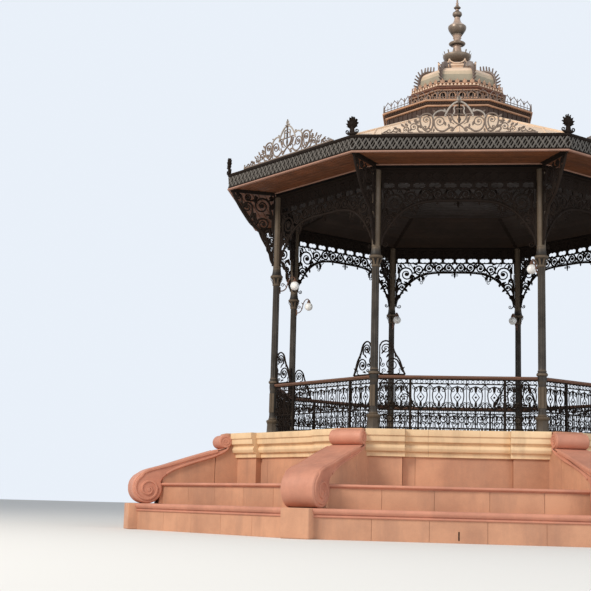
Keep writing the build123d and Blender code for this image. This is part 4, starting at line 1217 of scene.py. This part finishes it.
def ceiling_flat():
    """Level middle of the ceiling, boarded in rings and darkened as painted shade, with a rose at its centre.
    """
    whole = boards((0.3, 7.925), (2.695, 7.925), 14, 0.036, 23)
    lathe(whole, [(0.36, 7.962), (0.36, 7.92), (0.3, 7.905), (0.22, 7.912), (0.16, 7.9), (0.08, 7.9)], 16)
    return whole.cast("ceiling_centre_boards", [SHADED_CEILING], "brown_boards", "ceiling_centre")


def beam():
    whole = Castings()
    octagon_band(whole, [(3.905, 7.39), (3.925, 7.385), (4.045, 7.385), (4.064, 7.392), (4.064, 7.415),
                         (4.05, 7.425), (4.05, 7.46), (4.062, 7.468), (4.062, 7.489), (3.905, 7.489)])
    return whole.cast("ring_beam_casting", [SHADED_IRON], "dark_iron", "ring_beam")


def fascia():
    """Eaves board with a pierced slanting lattice between a foot moulding and a lip; the board behind is in
    painted shade and the lattice bars carry a painted highlight.
    """
    whole = Castings()
    octagon_band(whole, [(5.03, 7.5), (5.04, 7.5), (5.04, 7.79), (5.03, 7.79)])
    octagon_band(whole, rounded([(5.03, 7.502), (5.076, 7.502, 1), (5.076, 7.528, 1), (5.03, 7.53)], 0.01, 2))
    octagon_band(whole, rounded([(5.03, 7.464), (5.08, 7.464, 1), (EAVES, 7.474, 1), (EAVES, 7.488, 1),
                                 (5.074, 7.5), (5.03, 7.5)], 0.008), 1)
    octagon_band(whole, rounded([(5.03, 7.752), (5.062, 7.752), (5.07, 7.765), (EAVES, 7.78, 1),
                                 (EAVES, 7.82, 1), (5.07, EAVES_TOP), (5.03, EAVES_TOP)], 0.012))
    side = Castings()
    half = 5.06 * TAN - 0.012
    pitch = 2 * half / 31
    low, high = 7.53, 7.756
    for index in range(31):
        x = -half + index * pitch
        middle = x + pitch / 2
        strip(side, [(x, low), (x + pitch, high)], 0.036, 0.034, kind=2, offset=-0.004)
        strip(side, [(x, high), (x + pitch, low)], 0.032, 0.024, kind=2)
        strip(side, [(x, low + 0.113), (middle, high)], 0.018, 0.02, kind=2)
        strip(side, [(middle, low), (x + pitch, low + 0.113)], 0.018, 0.02, kind=2)
        bead(side, middle, (low + high) / 2, 0.03, 0.02, 2, -0.006)
    whole.join(around(stood(side, 5.058)))
    return whole.cast("eaves_fascia_casting", [SHADED_IRON, MOULDING, LIT_LATTICE_IRON], "dark_iron", "eaves_fascia")


def roof():
    """Sheets of the roof with standing seams up each side and rolls on the hips."""
    whole = Castings()
    (foot, foot_up), (head, head_up) = (5.028, 7.822), (1.64, 9.27)
    octagon_band(whole, [(foot, 7.786), (foot, foot_up), (head, head_up), (1.535, head_up), (1.535, 9.234),
                         (head, 9.234)])
    slope = (head_up - foot_up) / (foot - head)

    def height(apothem):
        return foot_up + (foot - apothem) * slope

    side = Castings()
    for index in range(-3, 4):
        x = index * 0.56
        top = max(abs(x) / TAN + 0.05, 1.7)
        capped(side, [[(x - 0.014, -a, height(a) - 0.004), (x - 0.007, -a, height(a) + 0.022),
                       (x + 0.007, -a, height(a) + 0.022), (x + 0.014, -a, height(a) - 0.004)]
                      for a in (foot - 0.01, top)])
    for share in (0.36, 0.7):
        a = foot + (head - foot) * share
        z = height(a)
        profile = [(0.012, z - 0.008), (0.012, z + 0.002), (-0.012, z + 0.012), (-0.012, z - 0.002)]
        straight_moulding(side, a * TAN - 0.03, a, profile)
    whole.join(around(side))
    roll = Castings()
    line = [(foot / COS - 0.005, foot_up + 0.008), (head / COS + 0.01, head_up + 0.002)]
    strip(roll, line, 0.045, 0.06, section=SIX)
    whole.join(around(roll, turned_to_corner))
    return whole.cast("roof_sheets", [ROOF], "roof_sheet", "roof_cover")


def crest_half(part):
    """Right half of the cresting: arch, paired volutes, leafy scrolls and a thin tail."""
    def at(x, up):
        return (x, EAVES_TOP + up)

    # Rims of kind 1 and the leaves of kind 1 on the peak take the pale painted sunlight; the rest take the
    # lighter crest iron.
    rims = (
        (((0.272, 0.35), (0.25, 0.425), (0.205, 0.505), (0.15, 0.575), (0.085, 0.63), (0.0, 0.66)),
         0.04, 0.034, 3, 1),
        (((0.15, 0.35), (0.105, 0.405), (0.09, 0.46), (0.102, 0.51), (0.085, 0.555), (0.05, 0.57)),
         0.03, 0.022, 3, 1),
        (((0.0, 0.5), (0.06, 0.505)), 0.024, 0.024, 3, 0),
        (((0.262, 0.385), (0.19, 0.40), (0.12, 0.39), (0.0, 0.395)), 0.026, 0.026, 3, 0),
        (((0.15, 0.385), (0.14, 0.33), (0.11, 0.27), (0.06, 0.22), (-0.05, 0.15), (-0.1, 0.1)),
         0.034, 0.026, 3, 0),
        (((0.205, 0.37), (0.2, 0.31), (0.165, 0.245), (0.1, 0.2)), 0.024, 0.016, 3, 0),
        (((0.285, 0.5), (0.27, 0.45), (0.3, 0.465), (0.345, 0.475), (0.41, 0.46), (0.465, 0.425),
          (0.5, 0.37), (0.51, 0.31)), 0.036, 0.03, 2, 1),
        (((0.51, 0.31), (0.545, 0.385), (0.625, 0.415), (0.71, 0.392), (0.758, 0.33), (0.76, 0.25),
          (0.735, 0.165), (0.68, 0.085), (0.61, 0.05), (0.55, 0.08), (0.517, 0.15), (0.508, 0.23),
          (0.51, 0.31)), 0.034, 0.034, 2, 0))
    for points, wide, end_wide, steps, kind in rims:
        strip(part, smooth_line([at(*point) for point in points], steps), wide, 0.034, end_wide, SIX, kind)
    strip(part, [at(0.0, 0.38), at(0.0, 0.64)], 0.06, 0.03, 0.034, SIX)
    leaf(part, at(0.0, 0.22), 90, 0.15, 0.08, 0, 0.018)
    leaf(part, at(0.0, 0.665), 90, 0.135, 0.055, 0, 0.016, 1)
    leaf(part, at(0.005, 0.67), 52, 0.095, 0.045, 40, 0.014, 1)
    leaf(part, at(0.01, 0.65), 10, 0.075, 0.04, 40, 0.014)
    bead(part, *at(0.0, 0.65), 0.04, 0.026)
    bead(part, *at(0.29, 0.50), 0.02, 0.018)
    curls = (
        ([(0.155, 0.088), (0.14, 0.066), (0.115, 0.078), (0.12, 0.112), (0.165, 0.128), (0.215, 0.105),
          (0.27, 0.066), (0.34, 0.052), (0.42, 0.082), (0.472, 0.15)],
         (0.378, 0.245), 0.112, 0, 1.6, 1, 0.046, 0.012, SIX, 0.03),
        ([(0.735, 0.165), (0.70, 0.115), (0.62, 0.105), (0.575, 0.17), (0.56, 0.24)],
         (0.64, 0.285), 0.08, 200, 1.5, -1, 0.041, 0.012, SIX, 0.026),
        ([(0.55, 0.08), (0.58, 0.11)], (0.655, 0.135), 0.055, 190, 1.1, 1, 0.032, 0.012, FOUR, 0.018),
        ([(0.7, 0.03), (0.77, 0.05), (0.81, 0.1)],
         (0.885, 0.14), 0.085, 190, 1.5, -1, 0.041, 0.012, SIX, 0.024),
        ([(0.76, 0.25), (0.8, 0.265), (0.845, 0.25)],
         (0.845, 0.285), 0.028, -60, 1.0, 1, 0.027, 0.012, FOUR, 0.0),
        ([(0.9, 0.03), (0.97, 0.035), (1.0, 0.06)],
         (1.04, 0.095), 0.06, 200, 1.4, -1, 0.034, 0.012, FOUR, 0.018),
        ([(1.5, 0.012), (1.43, 0.055), (1.36, 0.03), (1.29, 0.06), (1.23, 0.045)],
         (1.17, 0.075), 0.045, -40, 1.3, 1, 0.029, 0.017, FOUR, 0.0),
        ([(1.44, 0.05), (1.39, 0.085)], (1.36, 0.075), 0.022, 60, 1.0, 1, 0.020, 0.013, FOUR, 0.0),
        ([(1.3, 0.055), (1.27, 0.1)], (1.24, 0.105), 0.024, 60, 1.0, 1, 0.020, 0.013, FOUR, 0.0))
    for leads, centre, radius, start, turns, hand, wide, end_wide, section, boss in curls:
        scroll(part, [at(*lead) for lead in leads], at(*centre), radius, start, turns, hand, wide, 0.028,
               end_wide, section, boss)
    leaves = (
        (0.18, 0.33, 250, 0.12, 0.06, 30), (0.26, 0.17, 60, 0.1, 0.06, 30), (0.2, 0.13, 100, 0.08, 0.05, -30),
        (0.76, 0.33, 20, 0.1, 0.06, 40), (0.79, 0.22, 40, 0.11, 0.06, -40), (0.83, 0.21, 80, 0.1, 0.055, -40),
        (0.94, 0.21, 40, 0.1, 0.06, 30), (1.0, 0.16, 60, 0.09, 0.055, -40), (1.07, 0.15, 30, 0.1, 0.05, 30),
        (0.74, 0.12, 60, 0.1, 0.055, -40), (0.96, 0.06, 130, 0.08, 0.05, -30),
        (1.13, 0.04, 40, 0.09, 0.045, 30), (1.2, 0.11, 30, 0.09, 0.04, -20),
        (0.5, 0.04, 100, 0.08, 0.045, 0), (0.47, 0.44, 60, 0.06, 0.04, -40))
    for x, up, heading, length, width, bend in leaves:
        leaf(part, at(x, up), heading, length, width, bend, 0.015)


def crests():
    panel = both_ways(crest_half)
    flat_bar(panel, -1.52, 1.52, EAVES_TOP, EAVES_TOP + 0.03, 0.036)
    whole = around(stood(panel, 5.0634))
    # The crests carry painted sunlight, paler on the rims of their arches.
    return whole.cast("roof_crest_castings", [SUNLIT_CREST_IRON, CREST_RIM_SUNLIGHT], "dark_iron", "roof_crests", sharp=42)


def palmettes():
    """Upright fan of leaves on each corner of the eaves."""
    part = Castings()
    box(part, (-0.11, -0.03, EAVES_TOP), (0.11, 0.03, EAVES_TOP + 0.05), 0.014)
    strip(part, [(0, EAVES_TOP + 0.03), (0, EAVES_TOP + 0.2)], 0.13, 0.05, 0.08, SIX)
    leaf(part, (0, EAVES_TOP + 0.19), 90, 0.185, 0.1, 0, 0.034)
    for spread, length in ((26, 0.175), (52, 0.16), (80, 0.14), (110, 0.115), (140, 0.085)):
        for hand in (-1, 1):
            leaf(part, (0, EAVES_TOP + 0.19), 90 - hand * spread, length, 0.1, hand * 20, 0.034)
    bead(part, 0, EAVES_TOP + 0.22, 0.1, 0.034)
    for hand in (-1, 1):
        leads = [(hand * 0.01, EAVES_TOP + 0.05), (hand * 0.05, EAVES_TOP + 0.035)]
        scroll(part, leads, (hand * 0.1, EAVES_TOP + 0.07), 0.045, -90 - hand * 20, 1.1, hand, 0.034, 0.05)
    bead(part, 0, EAVES_TOP + 0.14, 0.036, 0.03)
    stand = Matrix.Translation((5.48, 0, 0)) @ Matrix.Rotation(pi / 2, 4, "Z")
    whole = around(part, lambda corner: turned_to_corner(corner) @ stand)
    return whole.cast("corner_palmette_castings", [SHADED_IRON], "dark_iron", "corner_palmettes", sharp=42)


# Lantern, dome and finial
def drum():
    """Lower drum: wall and thin uprights in painted shade under a light moulding."""
    whole = Castings()
    octagon_band(whole, [(1.535, 9.25), (1.65, 9.25), (1.65, 9.30), (1.612, 9.315), (1.612, 9.5),
                         (1.535, 9.5)], 1)
    octagon_band(whole, rounded([(1.535, 9.498), (1.64, 9.498), (1.66, 9.506, 1), (1.664, 9.526, 1),
                                 (1.64, 9.538), (1.63, 9.55), (1.535, 9.55)], 0.01))
    side = Castings()
    for index in range(9):
        x = (index - 4) * 0.152
        box(side, (x - 0.012, -1.63, 9.31), (x + 0.012, -1.605, 9.5), 0.004, kind=1)
    whole.join(around(side))
    return whole.cast("lantern_drum_casting", [LANTERN, LANTERN_PAINTED_SHADE], "dark_iron", "lantern_drum")


def drum_cornice():
    """Projecting shelf with a row of small blocks under its light edge; the blocks, the band behind them and
    the slope above are in painted shade.
    """
    whole = Castings()
    octagon_band(whole, [(1.535, 9.55), (1.65, 9.55), (1.665, 9.56), (1.665, 9.606), (1.535, 9.606)], 1)
    octagon_band(whole, rounded([(1.535, 9.604), (1.70, 9.604), (1.728, 9.61, 1), (1.73, 9.638, 1),
                                 (1.67, 9.64), (1.535, 9.64)], 0.01))
    octagon_band(whole, [(1.535, 9.6), (1.67, 9.635), (1.11, 9.84), (0.985, 9.84)], 1)
    side = Castings()
    for x in spaced(1.7 * TAN - 0.01, 24):
        box(side, (x - 0.014, -1.69, 9.57), (x + 0.014, -1.66, 9.605), 0.004, kind=1)
    whole.join(around(side))
    roll = Castings()
    strip(roll, [(1.68 / COS, 9.642), (1.12 / COS, 9.84)], 0.02, 0.03, section=SIX)
    whole.join(around(roll, turned_to_corner))
    return whole.cast("lantern_cornice_casting", [LANTERN, LANTERN_PAINTED_SHADE], "dark_iron", "lantern_cornice")


def gallery():
    """Railing of thin pointed hoops round the lower drum."""
    side = Castings()
    half = 1.7 * TAN - 0.03
    pitch = 2 * half / 6
    for z in (9.65, 9.70):
        flat_bar(side, -half, half, z, z + 0.012, 0.018)
    for index in range(6):
        x = -half + (index + 0.5) * pitch
        hoop = smooth_line([(x - pitch * 0.48, 9.65), (x - pitch * 0.5, 9.74), (x - pitch * 0.3, 9.81),
                            (x - 0.012, 9.85), (x, 9.878)], 3)
        strip(side, hoop, 0.026, 0.022, 0.016)
        strip(side, [(2 * x - px, z) for px, z in hoop], 0.026, 0.022, 0.016)
        strip(side, [(x, 9.65), (x, 9.78)], 0.02, 0.016, 0.012)
        if index:
            leaf(side, (x - pitch / 2, 9.72), 90, 0.13, 0.04, 0, 0.01)
    return around(stood(side, 1.7)).cast("gallery_crest_casting", [PEGS], "dark_iron", "gallery_crest")


def arcade():
    """Upper drum: round-headed arches before a wall in painted shade, with crossing rims between them."""
    whole = Castings()
    octagon_band(whole, [(0.985, 9.845), (1.03, 9.845), (1.03, 10.055), (0.985, 10.055)], 1)
    octagon_band(whole, rounded([(1.02, 9.842), (1.11, 9.842, 1), (1.11, 9.868, 1), (1.08, 9.882),
                                 (1.02, 9.89)], 0.01))
    side = Castings()
    half = 1.06 * TAN - 0.004
    rings = 4
    pitch = 2 * half / rings
    for index in range(rings):
        x = -half + (index + 0.5) * pitch
        arch = [(x - 0.062, 9.888), (x - 0.066, 9.96)]
        for turn in range(15, 180, 25):
            arch.append((x - 0.066 * cos(radians(turn)), 9.962 + 0.068 * sin(radians(turn))))
        arch += [(x + 0.066, 9.96), (x + 0.062, 9.888)]
        strip(side, arch, 0.026, 0.034, section=SIX)
        leaf(side, (x, 9.888), 90, 0.05, 0.05, 0, 0.01)
    for index in range(rings + 1):
        x = -half + index * pitch
        for hand in (-1, 1):
            if abs(x + hand * 0.04) < half:
                strip(side, [(x + hand * 0.038, 9.885), (x + hand * 0.004, 10.045)], 0.02, 0.022, 0.014)
        bead(side, x, 9.9, 0.022, 0.016)
    whole.join(around(stood(side, 1.052)))
    return whole.cast("arcade_band_casting", [LANTERN, SHADED_IRON], "dark_iron", "arcade_band")


def crown_cornice():
    """Moulding over the arcade, a row of balls and free-standing leaves before the foot of the dome. The
    recessed band and the ring at the dome's foot are in painted shade, and the balls take the dome's painted
    sunlight.
    """
    whole = Castings()
    octagon_band(whole, rounded([(0.985, 10.055), (1.11, 10.055, 1), (1.115, 10.075, 1), (1.08, 10.08),
                                 (0.985, 10.08)], 0.008, 2))
    octagon_band(whole, rounded([(0.985, 10.078), (1.085, 10.078), (1.12, 10.105), (1.14, 10.12, 1),
                                 (1.14, 10.135, 1), (1.09, 10.145), (0.985, 10.145)], 0.014), 2)
    octagon_band(whole, [(0.985, 10.143), (1.03, 10.143), (1.03, 10.185), (0.985, 10.185)], 1)
    octagon_band(whole, rounded([(0.985, 10.182), (1.075, 10.182, 1), (1.075, 10.196, 1), (1.03, 10.205),
                                 (1.03, 10.24), (1.06, 10.25, 1), (1.06, 10.265, 1), (0.985, 10.268)], 0.01))
    octagon_band(whole, [(0.845, 10.305), (0.845, DOME), (0.96, DOME), (0.99, 10.262), (0.93, 10.262),
                         (0.9, 10.305)], 1)
    side = Castings()
    half = 1.05 * TAN - 0.01
    for x in spaced(half, 10):
        bead(side, x, 10.217, 0.033, 0.032, 3, -1.044)
    leaves = Castings()
    for x in spaced(half, 5):
        leaf(leaves, (x, 10.25), 90, 0.12, 0.05, 0, 0.014)
        for hand in (-1, 1):
            leaf(leaves, (x, 10.252), 90 - hand * 55, 0.1, 0.04, hand * 60)
    side.join(stood(leaves, 1.05))
    whole.join(around(side))
    finishes = [LANTERN, LANTERN_PAINTED_SHADE, RED_BAND, DOME_SUNLIT]
    return whole.cast("upper_cornice_casting", finishes, "dark_iron", "upper_cornice")


def dome_point(share, swell=0.0):
    """Point of the flattened dome, or of a line raised over it, as apothem and height."""
    angle = share * pi / 2
    return (0.42 + (0.45 + swell) * cos(angle) ** 0.6, DOME + (0.425 + swell) * sin(angle) ** 0.6)


def dome():
    """Eight smooth gores, in painted shade at the foot, half shade above it and painted sunlight over the
    rest.
    """
    whole = Castings()
    outer = [dome_point(index / 18) for index in range(19)]
    # Bands from the foot up: painted shade, half shade, painted sunlight.
    for first, last, kind in ((0, 3, 2), (3, 6, 1), (6, 18, 0)):
        part = outer[first:last + 1]
        octagon_band(whole, part + [(a - 0.035, z) for a, z in reversed(part)], kind=kind)
    return whole.cast("dome_gores", [DOME_SUNLIT, DOME_HALF_SHADED, DOME_SHADED], "dome_sheet", "dome", sharp=25)


def dome_ribs():
    """Hip ribs with hooked leaves along them."""
    part = Castings()
    line = [(a / COS, z) for a, z in [dome_point(index / 18, 0.035) for index in range(18)] + [(0.43, 10.83)]]
    strip(part, line, 0.05, 0.05, 0.04, SIX)
    strip(part, [(r - 0.035, z - 0.02) for r, z in line], 0.06, 0.03, 0.05)
    for share in (0.01, 0.06, 0.13, 0.22, 0.34, 0.48, 0.62, 0.74, 0.84, 0.92):
        a, z = dome_point(share, 0.03)
        r = a / COS
        lean = radians(12 + 84 * min(share * 1.7, 1))
        strip(part, [(r, z), (r + 0.13 * cos(lean), z + 0.13 * sin(lean))], 0.048, 0.04, 0.034)
    whole = around(part, turned_to_corner)
    return whole.cast("dome_rib_castings", [PEGS], "dark_iron", "dome_ribs", sharp=42)


def dome_collar():
    """Neck and lip on top of the dome, an upswept leaf on each corner, and the stem inside it."""
    whole = Castings()
    # Neck, lip and rim take the dome's painted sunlight; the stem takes the pale bronze with its painted
    # highlight.
    octagon_band(whole, rounded([(0.3, 10.74), (0.42, 10.74), (0.40, 10.78), (0.39, 10.84), (0.40, 10.88),
                                 (0.425, 10.9, 1), (0.4325, 10.92, 1), (0.425, 10.945, 1), (0.39, 10.955),
                                 (0.1, 10.985), (0.1, 10.95), (0.3, 10.92)], 0.012), 1)
    lathe(whole, [(0.15, 10.96), (0.16, 10.985), (0.135, 11.01), (0.13, 11.06), (0.15, 11.075),
                  (0.15, 11.09)], 16, kind=2)
    side = Castings()
    half = 0.455 * TAN
    rim = smooth_line([(-half, 11.055), (-half * 0.8, 11.0), (-half * 0.4, 10.965), (0, 10.955),
                       (half * 0.4, 10.965), (half * 0.8, 11.0), (half, 11.055)], 2)
    strip(side, rim, 0.032, 0.05, section=SIX, kind=1)
    whole.join(around(stood(side, 0.43)))
    hook = Castings()
    line = smooth_line([(0.42, 10.84), (0.45, 10.92), (0.455, 10.99), (0.46, 11.03), (0.485, 11.07)], 3)
    strip(hook, line, 0.045, 0.05, 0.02, SIX)
    whole.join(around(hook, turned_to_corner))
    return whole.cast("dome_collar_casting", [PEGS, DOME_SUNLIT, BRONZE_PALE_AND_HIGHLIGHT], "dark_iron", "dome_collar")


def finial():
    """Leafy bowl, disc, vase, bulb and rings on a rod, in pale bronze, partly a painted highlight, and dark
    bronze by turns.
    """
    whole = Castings()
    # Spans of kind light take the pale bronze with its painted highlight.
    dark, light = 0, 1
    spans = (
        (dark, [(0.13, 11.088), (0.17, 11.097), (0.235, 11.12), (0.285, 11.155), (0.32, 11.2),
                (0.336, 11.245), (0.338, 11.275), (0.322, 11.288), (0.285, 11.275), (0.14, 11.28)]),
        (light, [(0.112, 11.31), (0.108, 11.42), (0.09, 11.47), (0.09, 11.51)]),
        (dark, [(0.12, 11.53), (0.17, 11.55), (0.194, 11.57), (0.195, 11.6), (0.17, 11.62)]),
        (light, [(0.12, 11.635), (0.09, 11.66), (0.08, 11.69), (0.09, 11.71), (0.105, 11.73),
                 (0.09, 11.75)]),
        (dark, [(0.11, 11.79), (0.16, 11.86), (0.205, 11.93), (0.22, 11.985)]),
        (light, [(0.215, 12.02), (0.18, 12.055), (0.13, 12.09), (0.1, 12.12), (0.085, 12.16),
                 (0.07, 12.2)]),
        (dark, [(0.068, 12.25), (0.09, 12.28), (0.112, 12.31), (0.115, 12.34), (0.105, 12.375),
                (0.07, 12.4)]),
        (light, [(0.045, 12.42)]),
        (dark, [(0.042, 12.46), (0.07, 12.48), (0.086, 12.498), (0.07, 12.518)]),
        (light, [(0.045, 12.54), (0.03, 12.57), (0.03, 12.6), (0.036, 12.615), (0.022, 12.63),
                 (0.017, 12.8), (0.014, 13.0), (0.006, 13.035)]))
    for number, (kind, levels) in enumerate(spans):
        following = spans[number + 1][1][:1] if number < len(spans) - 1 else []
        lathe(whole, levels + following, 32, kind=kind)
    fronds = Castings()
    leaf(fronds, (0.315, 11.27), 80, 0.09, 0.016, -20, 0.02)
    leaf(fronds, (0.2, 11.11), 42, 0.19, 0.02, 40, 0.036)
    leaf(fronds, (0.115, 11.795), 62, 0.24, 0.02, 30, 0.026)
    ring_bead = Castings()
    bead(ring_bead, 0.19, 11.585, 0.014, 0.016)
    for part, count in ((fronds, 14), (ring_bead, 12)):
        for index in range(count):
            whole.join(part, Matrix.Rotation(2 * pi * index / count, 4, "Z"))
    return whole.cast("finial_castings", [BRONZE, BRONZE_PALE_AND_HIGHLIGHT], "dark_iron", "finial", sharp=50)


# Lamps
ARM_START, ARM_TIP = 4.2275, 3.888
LAMP_CORNERS = range(1, 8)


def lamp_arms():
    """Curved bracket from each lamp's column, with a scroll below it and a hood over the globe."""
    part = Castings()
    line = smooth_line([(4.235, 5.27), (4.16, 5.28), (4.09, 5.34), (4.055, 5.45), (4.02, 5.55), (3.96, 5.603),
                        (3.91, 5.6), (ARM_TIP, 5.57)], 4)
    strip(part, line, 0.026, 0.026, 0.022, SIX)
    flat_bar(part, ARM_START - 0.014, ARM_START + 0.012, 5.21, 5.36, 0.03)
    scroll(part, [(4.08, 5.36), (4.12, 5.42)], (4.165, 5.41), 0.04, 100, 1.2, -1, 0.018, 0.02)
    leaf(part, (4.05, 5.47), 70, 0.08, 0.03, -40, 0.01)
    lathe(part, [(0.012, 5.583), (0.024, 5.575), (0.03, 5.556), (0.036, 5.54), (0.045, 5.525), (0.045, 5.506),
                 (0.036, 5.5)], 16, centre=(ARM_TIP, 0))
    whole = around(part, turned_to_corner, LAMP_CORNERS)
    return whole.cast("lamp_arm_castings", [BROWN_IRON], "dark_iron", "lamp_arms")


def lamp_globes():
    part = Castings()
    ball = [(0.1 * sin(radians(angle)), LAMP + 0.1 * cos(radians(angle))) for angle in range(176, 15, -10)]
    lathe(part, ball, 28, centre=(ARM_TIP, 0))
    whole = around(part, turned_to_corner, LAMP_CORNERS)
    return whole.cast("lamp_globe_glass", [OPAL], "opal_glass", "lamp_globes", sharp=60)


camera()
pale_floor()
studio()
lower_step()
upper_step()
dado()
cornice()
buttress()
buttress_block()
paint("floor_slab", PAVING)
columns()
railings()
rail_top()
rail_scrolls()
arches()
friezes()
eaves_brackets()
beam()
soffit()
ceiling()
ceiling_flat()
fascia()
roof()
crests()
palmettes()
drum()
drum_cornice()
gallery()
arcade()
crown_cornice()
dome()
dome_ribs()
dome_collar()
finial()
lamp_arms()
lamp_globes()
